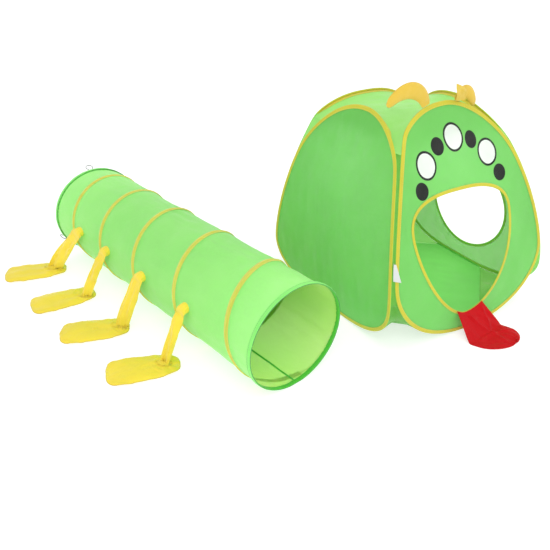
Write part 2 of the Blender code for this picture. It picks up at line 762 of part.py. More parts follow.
def coil_tape(parent):
    """The tape that holds the coil to the skin: it shows as slanting bands."""
    half = 0.5 * COIL_TAPE_WIDTH
    rows = []
    for step in coil_steps(END_HEM_WIDTH + half + 0.001):
        angle = facet_angle(step)
        y = NEAR_END + coil_place(step)
        flange = SKIN_RADIUS + GAP + 0.5 * CLOTH
        rows.append([
            around_tunnel(angle, flange, y - half),
            around_tunnel(angle, CROWN_INSIDE + 0.5 * CLOTH, y),
            around_tunnel(angle, flange, y + half),
        ])
    mesh = loft("coil_tape", rows)
    thicken(add("coil_tape", mesh, TAPE, parent), CLOTH)


def end_ring(name, hand, parent):
    """The closed ring inside a hem, outside the skin's edge; hand is -1 at the near end."""
    y = hand * (0.5 * TUNNEL_LENGTH - CLOTH - GAP - COIL_WIRE_RADIUS)
    points = [around_tunnel(facet_angle(i), COIL_WIRE_MIDDLE, y) for i in range(TUNNEL_SIDES)]
    wire(name, points, COIL_WIRE_RADIUS, 1, True, STEEL, parent)


def end_hem(name, hand, parent):
    """Cloth folded round the end ring and the skin's edge; its outer leg rests on the ground."""
    outer = CROWN_RADIUS - 0.5 * CLOTH
    inner = SKIN_RADIUS - CLOTH - GAP - 0.5 * CLOTH
    end = 0.5 * TUNNEL_LENGTH - 0.5 * CLOTH
    rows = []
    for i in range(TUNNEL_SIDES):
        angle = facet_angle(i)
        rows.append([
            around_tunnel(angle, outer, hand * (end - END_HEM_WIDTH)),
            around_tunnel(angle, outer, hand * end),
            around_tunnel(angle, inner, hand * end),
            around_tunnel(angle, inner, hand * (end - END_HEM_WIDTH)),
        ])
    mesh = loft(name, rows, close_columns=True)
    thicken(add(name, mesh, DARK_GREEN, parent), CLOTH)


def tunnel_seam(parent):
    """The lengthwise seam allowance, flat on the inside of the facet that lies on the ground."""
    inside = (SKIN_RADIUS - CLOTH) * math.cos(0.5 * FACET_STEP) - GAP - 0.5 * CLOTH
    z = TUNNEL_MIDDLE_HEIGHT - inside
    end = 0.5 * TUNNEL_LENGTH - END_HEM_WIDTH - CLOTH
    rows = [[Vector((x, y, z)) for x in (-0.5 * SEAM_WIDTH, 0.5 * SEAM_WIDTH)] for y in (-end, end)]
    mesh = loft("lengthwise_seam", rows)
    thicken(add("lengthwise_seam", mesh, DARK_GREEN, parent), CLOTH)


def tie_loop(name, angle, parent):
    """A short cord loop sewn to the far hem, for tying the tunnel to the tent's port."""
    end = 0.5 * TUNNEL_LENGTH
    middle = around_tunnel(angle, CROWN_RADIUS * math.cos(0.5 * FACET_STEP), end)
    side = (around_tunnel(angle + 0.01, CROWN_RADIUS, end) - around_tunnel(angle, CROWN_RADIUS, end)).normalized()
    away = side.cross(Vector((0.0, 1.0, 0.0))).normalized()
    if away.dot(middle - Vector((0.0, end, TUNNEL_MIDDLE_HEIGHT))) < 0.0:
        away = -away
    # Sideways, outward and past the end, as shares of the spread and the reach
    route = ((-0.5, 0.0, 0.0), (-0.75, 0.10, 0.22), (-1.0, 0.22, 0.50), (-0.85, 0.34, 0.82),
             (-0.35, 0.42, 1.0), (0.35, 0.42, 1.0), (0.85, 0.34, 0.82), (1.0, 0.22, 0.50),
             (0.75, 0.10, 0.22), (0.5, 0.0, 0.0))
    start = middle + Vector((0.0, TIE_RADIUS + GAP, 0.0)) + away * (-2.0 * TIE_RADIUS)
    points = []
    for sideways, outward, past in route:
        points.append(start + side * sideways * TIE_SPREAD + away * outward * TIE_REACH
                      + Vector((0.0, past * TIE_REACH, 0.0)))
    wire(name, points, TIE_RADIUS, 1, False, DARK_GREEN, parent)


def side_reach():
    """How far the flat facets of the skin's side stand from the tunnel's middle at the leg's height."""
    rise = LEG_HEIGHT - TUNNEL_MIDDLE_HEIGHT
    return TUNNEL_OVAL * math.sqrt(SKIN_RADIUS ** 2 - rise ** 2)


def leg_root(name, hand, y, parent):
    """The gathered top of a leg, stitched to the skin."""
    mesh = bpy.data.meshes.new(name)
    work = bmesh.new()
    middle = Vector((hand * (side_reach() + GAP + 0.5 * ROOT_DEPTH), y, LEG_HEIGHT))
    size = Matrix.Diagonal((0.5 * ROOT_DEPTH, 0.5 * ROOT_WIDTH, 0.5 * ROOT_TALL, 1.0))
    bmesh.ops.create_uvsphere(work, u_segments=8, v_segments=6, radius=1.0,
                              matrix=Matrix.Translation(middle) @ size)
    work.to_mesh(mesh)
    work.free()
    add(name, mesh, YELLOW, parent)


def leg_top(hand, y):
    return Vector((hand * (side_reach() + ROOT_DEPTH + 2.0 * GAP), y, LEG_HEIGHT))


def ankle(hand, y, slant):
    return Vector((hand * (abs(leg_top(hand, y).x) + LEG_SPREAD), y + slant, FOOT_THICKNESS))


def leg(name, hand, y, slant, width, parent):
    """A loose flat cloth tube, gathered at both ends, from its root down to the foot."""
    start = leg_top(hand, y)
    end = ankle(hand, y, slant) + UP * (0.5 * GAP + 0.001)
    bend = (start, start + Vector((hand * 0.014, 0.20 * slant, -0.016)),
            end + Vector((-hand * 0.022, -0.33 * slant, 0.090)), end)
    swells = (ROOT_WIDTH / width * 0.6, 0.90, 1.0, 1.0, 1.0, 0.90, 0.75)
    stations = []
    last = len(swells) - 1
    for i, swell in enumerate(swells):
        t = i / last
        tilt = 0.5 * math.pi * min(t * 1.6, 1.0)
        twist = LEG_TWIST * max(t - 0.3, 0.0) / 0.7
        level = Vector((hand * math.cos(twist), -math.sin(twist), 0.0))
        thick = (level * math.sin(tilt) + UP * math.cos(tilt)) * 0.5 * LEG_THICKNESS
        wide = Vector((hand * math.sin(twist), math.cos(twist), 0.0)) * 0.5 * width * swell
        stations.append((bezier(bend, t), wide, thick * (0.75 if i in (0, last) else 1.0)))
    pad(name, stations, YELLOW, parent, sides=8)


def foot(name, hand, y, slant, turn, aside, behind, parent):
    """A flat padded sole, wider at the toe, with a crown and a flat base on the ground."""
    heading = Vector((hand * math.cos(turn), math.sin(turn), 0.0))
    across = Vector((-heading.y, heading.x, 0.0))
    base = ankle(hand, y, slant)
    heel = Vector((base.x, base.y + aside, 0.0)) - heading * behind
    middle = heel + heading * 0.5 * FOOT_LENGTH
    # Share of the outline's size and height of each ring, from the sole up
    rings = ((0.955, 0.0), (1.0, 0.30), (0.955, 0.62), (0.80, 0.86), (0.45, 1.0))
    count = 20
    rows = []
    for size, height in rings:
        ring = []
        for i in range(count):
            angle = 2.0 * math.pi * i / count
            c, s = math.cos(angle), math.sin(angle)
            forward = math.copysign(abs(c) ** (2.0 / FOOT_ROUNDNESS), c)
            sideways = math.copysign(abs(s) ** (2.0 / FOOT_ROUNDNESS), s)
            width = 0.5 * (FOOT_HEEL_WIDTH + (FOOT_TOE_WIDTH - FOOT_HEEL_WIDTH) * 0.5 * (1.0 + forward))
            place = middle + heading * forward * 0.5 * FOOT_LENGTH * size + across * sideways * width * size
            ring.append(place + UP * height * (FOOT_THICKNESS - GAP))
        rows.append(ring)
    mesh = loft(name, rows, close_rows=True, cap_first=True, cap_last=True)
    add(name, mesh, YELLOW, parent)


def band_at_side(band):
    """Distance from the near end where a band passes the side that faces away from the tent."""
    turns = band - 0.25
    return COIL_FIRST_BAND + COIL_PITCH * turns - COIL_CLOSING * turns * turns


def make_tunnel():
    tunnel = group_frame("tunnel", (TUNNEL_OFFSET_X, TUNNEL_OFFSET_Y, 0.0))
    far_pivot = pivot("far_ring_axis", (0.0, -NEAR_END, TUNNEL_MIDDLE_HEIGHT), tunnel)
    tunnel_skin(tunnel)
    tunnel_coil(tunnel)
    coil_tape(tunnel)
    tunnel_seam(tunnel)
    end_ring("near_ring", -1.0, tunnel)
    end_hem("near_hem", -1.0, tunnel)
    end_ring("far_ring", 1.0, far_pivot)
    end_hem("far_hem", 1.0, far_pivot)
    tie_loop("top_tie_loop", TOP_ANGLE, far_pivot)
    tie_loop("side_tie_loop", -2.0 * FACET_STEP, far_pivot)
    sides = (("outer", -1.0, OUTER_FOOT_TURNS), ("inner", 1.0, INNER_FOOT_TURNS))
    for i, band in enumerate(LEG_BANDS):
        pair = i + 1
        slant = LEG_SLANTS[i]
        s = band_at_side(band) - LEG_BESIDE_BAND[i]
        y = NEAR_END + s
        station = pivot(f"leg_station_{pair}", (0.0, y, LEG_HEIGHT), tunnel)
        for side_name, hand, turns in sides:
            leg_root(f"{side_name}_leg_root_{pair}", hand, y, station)
            leg_axis = pivot(f"{side_name}_leg_{pair}_axis", leg_top(hand, y), station)
            ankle_axis = pivot(f"{side_name}_ankle_{pair}_axis", ankle(hand, y, slant), leg_axis)
            leg(f"{side_name}_leg_{pair}", hand, y, slant, LEG_WIDTHS[i], leg_axis)
            foot(f"{side_name}_foot_{pair}", hand, y, slant, math.radians(turns[i]), FOOT_ASIDES[i],
                 ANKLES_FROM_HEEL[i], ankle_axis)
            print(f"{side_name}_leg_{pair}", [round(v, 4) for v in leg_top(hand, y)],
                  [round(v, 4) for v in ankle(hand, y, slant)], "share", round(s / TUNNEL_LENGTH, 4))


make_tent()
make_tunnel()
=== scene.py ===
"""Play tent with a crawl tunnel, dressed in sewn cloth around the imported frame. Metres, +Z up."""

import math

import bmesh
import bpy
import numpy as np
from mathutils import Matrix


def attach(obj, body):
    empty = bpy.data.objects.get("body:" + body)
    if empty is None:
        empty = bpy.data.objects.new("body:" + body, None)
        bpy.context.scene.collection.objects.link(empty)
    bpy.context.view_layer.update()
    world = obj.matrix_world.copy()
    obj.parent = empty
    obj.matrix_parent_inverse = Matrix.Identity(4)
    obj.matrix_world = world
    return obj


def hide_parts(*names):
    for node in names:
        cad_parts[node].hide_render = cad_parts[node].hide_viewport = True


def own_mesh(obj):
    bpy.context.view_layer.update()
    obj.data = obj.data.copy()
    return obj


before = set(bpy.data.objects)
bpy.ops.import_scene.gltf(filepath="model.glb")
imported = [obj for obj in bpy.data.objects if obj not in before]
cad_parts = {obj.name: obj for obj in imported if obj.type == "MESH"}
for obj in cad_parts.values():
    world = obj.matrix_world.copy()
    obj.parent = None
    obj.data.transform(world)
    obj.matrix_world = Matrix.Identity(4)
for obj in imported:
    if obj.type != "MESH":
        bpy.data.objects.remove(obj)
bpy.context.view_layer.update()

# Cloth, tapes and clearances, as in the part's source
CLOTH = 0.0008
GAP = 0.0003
HOOP_WIRE_RADIUS = 0.0018
HOOP_TAPE_WIDTH = 0.015
OPENING_TAPE_WIDTH = 0.012
HOOP_SPACING = 0.012
HOOP_REACH = HOOP_WIRE_RADIUS + GAP + CLOTH
GROUND_CLEAR = 1.12 * HOOP_REACH

# Tent walls
BELT_HEIGHT = 0.45
BOW_SPAN = 0.50
TENT_TURN = math.radians(-11.0)
HOOP_FULLNESS = 0.012
CORNER_SOFTNESS = 0.008
GUSSET_FOOT = 0.004
GUSSET_FOLD_HEIGHT = 0.24
UPPER_GUSSET_FOOT = 0.80
GUSSET_OVERLAP = 0.012
GUSSET_TUCK = 0.0018
FLOOR_TURN_UP = 0.011
ROOF_SEAM_DEPTH = 0.0085
ROOF_TAPE_WIDTH = 0.0190
OUTER_TAPE_TIP = 0.0013
OPENING_TAPE_CROWN = 0.0014
OPENING_TAPE_TIP = 0.0012

# Mouth, port and tongue
MOUTH_SHIFT = -0.038
MOUTH_TOP = 0.637
MOUTH_BOTTOM = 0.092
MOUTH_HALF_WIDTH = 0.281
MOUTH_SHOULDER = 0.500
MOUTH_UPPER_ROUNDNESS = 2.7
MOUTH_LOWER_ROUNDNESS = 1.55
MOUTH_RIGHT_ROUNDNESS = 1.98
PORT_RADIUS = 0.250
PORT_HEIGHT = 0.348
PORT_SHIFT = -0.018
TONGUE_ROOT_SHIFT = 0.023
TONGUE_ROOT_HALF_WIDTH = 0.077
TONGUE_HALF_WIDTH = 0.121
TONGUE_SLOPE = 0.090
TONGUE_SLOPE_DRIFT = 0.035
TONGUE_LIE = 0.120
TONGUE_LIE_DRIFT = 0.058
TONGUE_TURN = math.radians(10.0)
TONGUE_KNEE = 0.018
TONGUE_CLOTH = 0.0014
TONGUE_SPAN = 0.24
TONGUE_HALF_SPAN = 0.12

# Antennae; the folded strap's corners lie along, up and out from the root
ANTENNA_THICKNESS = 0.016
ANTENNA_PIPING = 0.0011
ANTENNA_FOLD = {
    "low_left": (-0.020, 0.002, 0.013),
    "low_right": (0.036, 0.002, 0.013),
    "high_left": (-0.036, 0.080, 0.016),
    "high_right": (0.036, 0.052, 0.013),
}

# Each antenna's root, width, rise, reach, tip height and lean
ANTENNAE = {
    "left_antenna": (-0.112, 0.066, 0.092, 0.212, 0.022, 0.018),
    "right_antenna": (0.066, 0.054, 0.050, 0.106, -0.036, 0.0),
}

# Care label
LABEL_WIDTH = 0.034
LABEL_LENGTH = 0.068
LABEL_TOP = 0.423
LABEL_STEM = 0.012
LABEL_FLAT_WIDTH = 0.046
LABEL_CLOTH = 0.0009

# Tunnel
TUNNEL_OFFSET = np.array((-0.988, 0.528, 0.0))
TUNNEL_LENGTH = 1.656
SKIN_RADIUS = 0.2275
TUNNEL_OVAL = 1.05
TUNNEL_SIDES = 24
COIL_WIRE_RADIUS = 0.0015
COIL_TAPE_WIDTH = 0.025
COIL_FIRST_BAND = 0.233
COIL_PITCH = 0.369
COIL_CLOSING = 0.0125
END_HEM_WIDTH = 0.018
HEM_BEAD_RADIUS = 0.0010
SEAM_HALF_WIDTH = 0.0045
SEAM_STITCH = 0.0022
TIE_RADIUS = 0.0015
TIE_REACH = 0.035
TIE_SPREAD = 0.018

# A tie loop's route from its hem, as shares of its spread and its reach out and past the end
TIE_ROUTE = ((-0.5, 0.0, 0.0), (-0.75, 0.10, 0.22), (-1.0, 0.22, 0.50), (-0.85, 0.34, 0.82),
             (-0.35, 0.42, 1.0), (0.35, 0.42, 1.0), (0.85, 0.34, 0.82), (1.0, 0.22, 0.50),
             (0.75, 0.10, 0.22), (0.5, 0.0, 0.0))

# Legs and feet; rows of four hold a value for each pair, counted from the far end
LEG_BANDS = (4, 3, 2, 1)
LEG_BESIDE_BAND = (0.070, 0.061, 0.073, 0.078)
LEG_HEIGHT = 0.265
LEG_SLANTS = (0.181, 0.087, 0.057, 0.035)
LEG_WIDTHS = (0.100, 0.062, 0.078, 0.052)
LEG_TOP_WIDTHS = (0.082, 0.066, 0.074, 0.058)
LEG_TWIST = math.radians(38.0)
LEG_THICKNESS = 0.020
LEG_SPREAD = 0.083
ROOT_DEPTH = 0.022
ROOT_WIDTH = 0.048
ROOT_TALL = 0.040
FOOT_TURNS = {"outer": (26.0, 14.0, 30.0, 26.0), "inner": (26.0, 14.0, 30.0, 60.0)}
FOOT_ASIDES = (0.0, 0.030, 0.0, -0.006)
ANKLES_FROM_HEEL = (0.060, 0.055, 0.034, 0.062)
FOOT_LENGTH = 0.310
FOOT_TOE_WIDTH = 0.192
FOOT_HEEL_WIDTH = 0.140
FOOT_THICKNESS = 0.016
FOOT_ROUNDNESS = 3.4
FOOT_PIPING = 0.0013
FOOT_RIM_HEIGHT = 0.0038

# Rings of a sole from its middle out, as shares of its outline
FOOT_SIZES = (0.06, 0.16, 0.28, 0.40, 0.51, 0.61, 0.70, 0.78, 0.85, 0.91, 0.96, 0.99)

# Stitches, weave and dye; a lining's seam distances are stored below zero, from the mark down
STITCH_PITCH = 0.0075
STITCH_LENGTH = 0.0050
STITCH_WIDTH = 0.0009
STITCH_HEIGHT = 0.0007
LINING_MARK = 0.0004
WEAVE_PITCH = 0.0011
GLOW_DEPTH = 0.0070
DEEPER = 0.86
LIGHTER = 1.05
# Darkening along seams: wear and painted shade where the cloth meets its tapes.
RUBBED_AND_SHADED = 0.80
INK = (10, 11, 11)
PALE = (255, 255, 254)

# Arch of round spots printed over the mouth, rimmed and solid by turns
SPOT_COUNT = 7
SPOT_RADII = (0.056, 0.035)
SPOT_RIM = 0.0090
SPOT_ARCH = (0.240, 0.248)
SPOT_ARCH_MIDDLE = (-0.012, 0.590)
SPOT_SPREAD = 1.26

# Camera, fitted to the photo's outlines
CAMERA_PLACE = (-2.3625, -1.7283, 1.668)
CAMERA_DOWN = math.radians(30.2)
CAMERA_HEADING = math.radians(-41.35)
FOCAL_PIXELS = 620.0
PICTURE_PIXELS = 550.0
SENSOR_WIDTH = 36.0

# Studio
WORLD_STRENGTH = 0.98
FLOOR_LIGHT = 0.64
FLOOR_REACH = 40.0
FLOOR_DEPTH = -0.0006

# Each light's place, aim, size and power
LIGHTS = {
    "key": ((-2.6, -2.4, 3.6), (-0.4, 0.2, 0.3), 2.6, 52.0),
    "fill": ((2.6, -2.0, 2.8), (0.0, 0.2, 0.3), 2.6, 12.0),
    "inner": ((0.0, 0.0, 0.86), (0.0, 0.001, 0.0), 0.34, 2.0),
}

# Mesh fineness and the cloth simulation
OUTLINE_POINTS = 240
WALL_RINGS = 34
ROOF_STEPS = 44
ROOF_RELAXING_STEPS = 4000
SKIN_ROWS = 230
SKIN_COLUMNS = 150
FOOT_COLUMNS = 132
RIPPLE_WAVES = 9
FOOT_SWELL_LIMIT = 0.0026
CLOTH_FRAMES = 24
CLOTH_SETTINGS = {
    "quality": 6,
    "mass": 0.15,
    "use_pressure": True,
    "uniform_pressure_force": 2.0,
    "tension_stiffness": 12.0,
    "compression_stiffness": 8.0,
    "bending_stiffness": 0.10,
}

UP = np.array((0.0, 0.0, 1.0))
TURN = 2.0 * math.pi


# Vectors, paths and relief

def unit(vectors):
    return vectors / np.maximum(np.linalg.norm(vectors, axis=-1, keepdims=True), 1e-12)


def smooth(share):
    share = np.clip(share, 0.0, 1.0)
    return share * share * (3.0 - 2.0 * share)


def in_tent(points):
    """Points of the tent's own frame, in the row's frame."""
    c, s = math.cos(TENT_TURN), math.sin(TENT_TURN)
    x, y, z = np.moveaxis(np.asarray(points, float), -1, 0)
    return np.stack((x * c - y * s, x * s + y * c, z), -1)


def in_tunnel(points):
    return np.asarray(points, float) + TUNNEL_OFFSET


def ripple(first, second, seed, shortest, longest):
    """Seeded soft relief from about -1 to 1 over two coordinates in metres."""
    random = np.random.default_rng(seed)
    total = np.zeros(np.broadcast(first, second).shape)
    for _ in range(RIPPLE_WAVES):
        length = random.uniform(shortest, longest)
        heading = random.uniform(0.0, TURN)
        phase = random.uniform(0.0, TURN)
        total += np.sin(TURN / length * (first * math.cos(heading) + second * math.sin(heading)) + phase)
    return total / math.sqrt(RIPPLE_WAVES)


def path_lengths(points):
    steps = np.linalg.norm(np.diff(points, axis=0), axis=1)
    return np.concatenate(((0.0,), np.cumsum(steps)))


def along_path(points, places, *more):
    """Points, and any values given for them, at distances along a path."""
    lengths = path_lengths(points)
    found = []
    for values in (points, *more):
        columns = [np.interp(places, lengths, values[:, i]) for i in range(values.shape[1])]
        found.append(np.stack(columns, -1))
    return found


def smooth_path(points, count):
    """A Catmull-Rom curve through the points, at count even steps."""
    points = np.asarray(points, float)
    ends = np.concatenate((2.0 * points[:1] - points[1:2], points, 2.0 * points[-1:] - points[-2:-1]))
    fine = []
    for a, b, c, d in zip(ends, ends[1:], ends[2:], ends[3:]):
        for t in np.linspace(0.0, 1.0, 12, endpoint=False):
            fine.append(0.5 * (2.0 * b + (c - a) * t + (2.0 * a - 5.0 * b + 4.0 * c - d) * t * t
                               + (3.0 * b - a - 3.0 * c + d) * t ** 3))
    fine.append(points[-1])
    fine = np.array(fine)
    return along_path(fine, np.linspace(0.0, path_lengths(fine)[-1], count))[0]


def bezier(points, t):
    t = np.asarray(t, float)[..., None]
    a, b, c, d = (np.asarray(point, float) for point in points)
    return a * (1 - t) ** 3 + 3 * b * t * (1 - t) ** 2 + 3 * c * t * t * (1 - t) + d * t ** 3


def crease(distance, width):
    return np.exp(-(distance / width) ** 2)


def rounded(values, power):
    """Values from -1 to 1 raised to a power, with their signs kept."""
    return np.sign(values) * np.abs(values) ** power


def ring_angles(count):
    return TURN * np.arange(count) / count


def quarter_turn(vectors):
    return np.stack((-vectors[..., 1], vectors[..., 0]), -1)


def together(*values):
    """Numbers and arrays of any fitting shapes as one array of vectors."""
    return np.stack(np.broadcast_arrays(*values), -1)


# Meshes

def quads(rows, columns, wrap=False):
    """Faces of a grid of points, a row after a row; wrap joins the last column to the first."""
    r = np.arange(rows - 1)[:, None] * columns
    c = np.arange(columns if wrap else columns - 1)[None, :]
    d = (c + 1) % columns
    corners = np.broadcast_arrays(r + c, r + columns + c, r + columns + d, r + d)
    return np.stack(corners, -1).reshape(-1, 4).tolist()


def grid_normals(grid, wrap=False):
    across = np.roll(grid, -1, 1) - np.roll(grid, 1, 1) if wrap else np.gradient(grid, axis=1)
    return unit(np.cross(np.gradient(grid, axis=0), across))


def add_object(name, data):
    made = bpy.data.objects.new(name, data)
    bpy.context.scene.collection.objects.link(made)
    return made


def make(name, points, faces, place, cloth=None, sharp=55.0, mend=False, normals=None):
    """A mesh object in the row's frame; cloth holds each point's place on its cloth, in metres."""
    mesh = bpy.data.meshes.new(name)
    mesh.from_pydata(place(points).tolist(), [], faces)
    if mend:
        work = bmesh.new()
        work.from_mesh(mesh)
        bmesh.ops.recalc_face_normals(work, faces=work.faces[:])
        work.to_mesh(mesh)
        work.free()
    if cloth is not None:
        layer = mesh.attributes.new("cloth", "FLOAT_VECTOR", "POINT")
        layer.data.foreach_set("vector", np.asarray(cloth, np.float32).ravel())
    mesh.shade_smooth()
    mesh.set_sharp_from_angle(angle=math.radians(sharp))
    if normals is not None:
        mesh.normals_split_custom_set_from_vertices((place(normals) - place(normals * 0.0)).tolist())
    return add_object(name, mesh)


def thick_cloth(name, points, normals, faces, thickness, place, cloth, shared_normals=False,
                lined_front=False):
    """A closed body of cloth from one layer of points: both faces and the rims."""
    count = len(points)
    reach = normals * 0.5 * thickness
    both = np.concatenate((points + reach, points - reach))
    edges = {(a, b) for face in faces for a, b in zip(face, face[1:] + face[:1])}
    rims = [(b, a, a + count, b + count) for a, b in sorted(edges) if (b, a) not in edges]
    backs = [[i + count for i in reversed(face)] for face in faces]
    told = np.concatenate((normals, -normals)) if shared_normals else None
    lining = cloth * (1.0, 1.0, -1.0) - (0.0, 0.0, LINING_MARK)
    sides = (lining, cloth) if lined_front else (cloth, lining)
    return make(name, both, faces + backs + rims, place, np.concatenate(sides), normals=told)


def grid_cloth(name, grid, thickness, place, cloth, wrap=False, cap=False, lined_front=False):
    rows, columns = grid.shape[:2]
    faces = quads(rows, columns, wrap)
    if cap:
        faces.append(list(range(rows * columns - 1, (rows - 1) * columns - 1, -1)))
    normals = grid_normals(grid, wrap).reshape(-1, 3)
    return thick_cloth(name, grid.reshape(-1, 3), normals, faces, thickness, place, cloth.reshape(-1, 3),
                       lined_front=lined_front)


def tube(name, rings, place, cloth=None, closed=False):
    """A closed tube through rings of points; closed joins its last ring to its first."""
    rows, columns = rings.shape[:2]
    faces = quads(rows, columns, True)
    if closed:
        last = (rows - 1) * columns
        faces += [[last + i, i, (i + 1) % columns, last + (i + 1) % columns] for i in range(columns)]
    else:
        faces.append(list(range(columns)))
        faces.append(list(range(rows * columns - 1, (rows - 1) * columns - 1, -1)))
    flat = None if cloth is None else cloth.reshape(-1, 3)
    return make(name, rings.reshape(-1, 3), faces, place, flat, mend=True)


def wire(name, path, radius, place, closed=False, sides=8):
    """A round wire along a path of points."""
    if closed:
        along = unit(np.roll(path, -1, 0) - np.roll(path, 1, 0))
    else:
        along = unit(np.gradient(path, axis=0))
    side = unit(np.cross(along, np.where(np.abs(along[:, 2:]) < 0.95, UP, (1.0, 0.0, 0.0))))
    over = np.cross(side, along)
    angles = ring_angles(sides)
    rings = path[:, None] + radius * (side[:, None] * np.cos(angles)[None, :, None]
                                      + over[:, None] * np.sin(angles)[None, :, None])
    return tube(name, rings, place, closed=closed)


def stitch_row(path, outward, closed=False):
    """Thread bars along a path, as points and faces; outward is the cloth's normal there."""
    if closed:
        path = np.concatenate((path, path[:1]))
        outward = np.concatenate((outward, outward[:1]))
    total = path_lengths(path)[-1]
    count = max(int(total / STITCH_PITCH), 1)
    places = (np.arange(count) + 0.5) * total / count
    half = 0.5 * STITCH_LENGTH
    start, out = along_path(path, places - half, outward)
    end = along_path(path, places + half)[0]
    out = unit(out)
    side = unit(np.cross(end - start, out)) * 0.5 * STITCH_WIDTH
    lift = out * 0.5 * STITCH_HEIGHT
    points = []
    for tip in (start, end):
        points += [tip - side, tip + lift, tip + side, tip - lift]
    points = np.stack(points, 1).reshape(-1, 3)
    bar = [(0, 1, 2, 3), (7, 6, 5, 4), (0, 4, 5, 1), (1, 5, 6, 2), (2, 6, 7, 3), (3, 7, 4, 0)]
    faces = [[8 * i + k for k in face] for i in range(count) for face in bar]
    return points, faces


def stitches(name, rows, place):
    """One object of thread from several rows of stitches."""
    points = []
    faces = []
    start = 0
    for row_points, row_faces in rows:
        points.append(row_points)
        faces += [[start + k for k in face] for face in row_faces]
        start += len(row_points)
    return make(name, np.concatenate(points), faces, place, mend=True)


# Materials

def linear(colour):
    """A colour given as 0 to 255, in linear light."""
    shares = np.asarray(colour, float) / 255.0
    return tuple(np.where(shares <= 0.04045, shares / 12.92, ((shares + 0.055) / 1.055) ** 2.4))


class Shader:
    """A Principled material and short ways to add its nodes."""

    def __init__(self, name, **inputs):
        self.material = bpy.data.materials.new(name)
        self.material.use_nodes = True
        self.tree = self.material.node_tree
        self.surface = self.tree.nodes["Principled BSDF"]
        self.place = self.node("TexCoord", {})["Object"]
        self.feed(**inputs)

    def link(self, source, target):
        if isinstance(source, bpy.types.NodeSocket):
            self.tree.links.new(source, target)
        else:
            target.default_value = source

    def feed(self, **inputs):
        """Link or set inputs of the surface, their names written with underscores."""
        for socket, value in inputs.items():
            self.link(value, self.surface.inputs[socket.replace("_", " ")])

    def node(self, kind, inputs, **settings):
        """The outputs of a new node, its inputs linked or set by name or number."""
        made = self.tree.nodes.new("ShaderNode" + kind)
        for setting, value in settings.items():
            setattr(made, setting, value)
        for socket, value in inputs.items():
            self.link(value, made.inputs[socket])
        return made.outputs

    def math(self, operation, first, second=0.0, clamp=False):
        return self.node("Math", {0: first, 1: second}, operation=operation, use_clamp=clamp)[0]

    def noise(self, scale, detail=2.0, distortion=0.0):
        inputs = {"Vector": self.place, "Scale": scale, "Detail": detail, "Distortion": distortion}
        return self.node("TexNoise", inputs)["Fac"]

    def spread(self, value, low, high, to_low=0.0, to_high=1.0):
        inputs = dict(enumerate((value, low, high, to_low, to_high)))
        return self.node("MapRange", inputs, interpolation_type="SMOOTHSTEP")[0]

    def mix(self, share, *colours):
        inputs = {0: share}
        for place, colour in zip((6, 7), colours):
            inputs[place] = colour if isinstance(colour, bpy.types.NodeSocket) else (*colour, 1.0)
        return self.node("Mix", inputs, data_type="RGBA")[2]

    def cloth_place(self):
        """A point's place on its cloth: along, across and from the nearest seam, in metres."""
        place = self.node("Attribute", {}, attribute_name="cloth")["Vector"]
        return self.node("SeparateXYZ", {0: place})

    def distance_from(self, middle, along, across):
        flat = self.node("CombineXYZ", {0: along, 1: across})[0]
        return self.node("VectorMath", {0: flat, 1: (*middle, 0.0)}, operation="DISTANCE")["Value"]

    def bump(self, height, distance, strength, **under):
        inputs = {"Height": height, "Distance": distance, "Strength": strength, **under}
        return self.node("Bump", inputs)["Normal"]


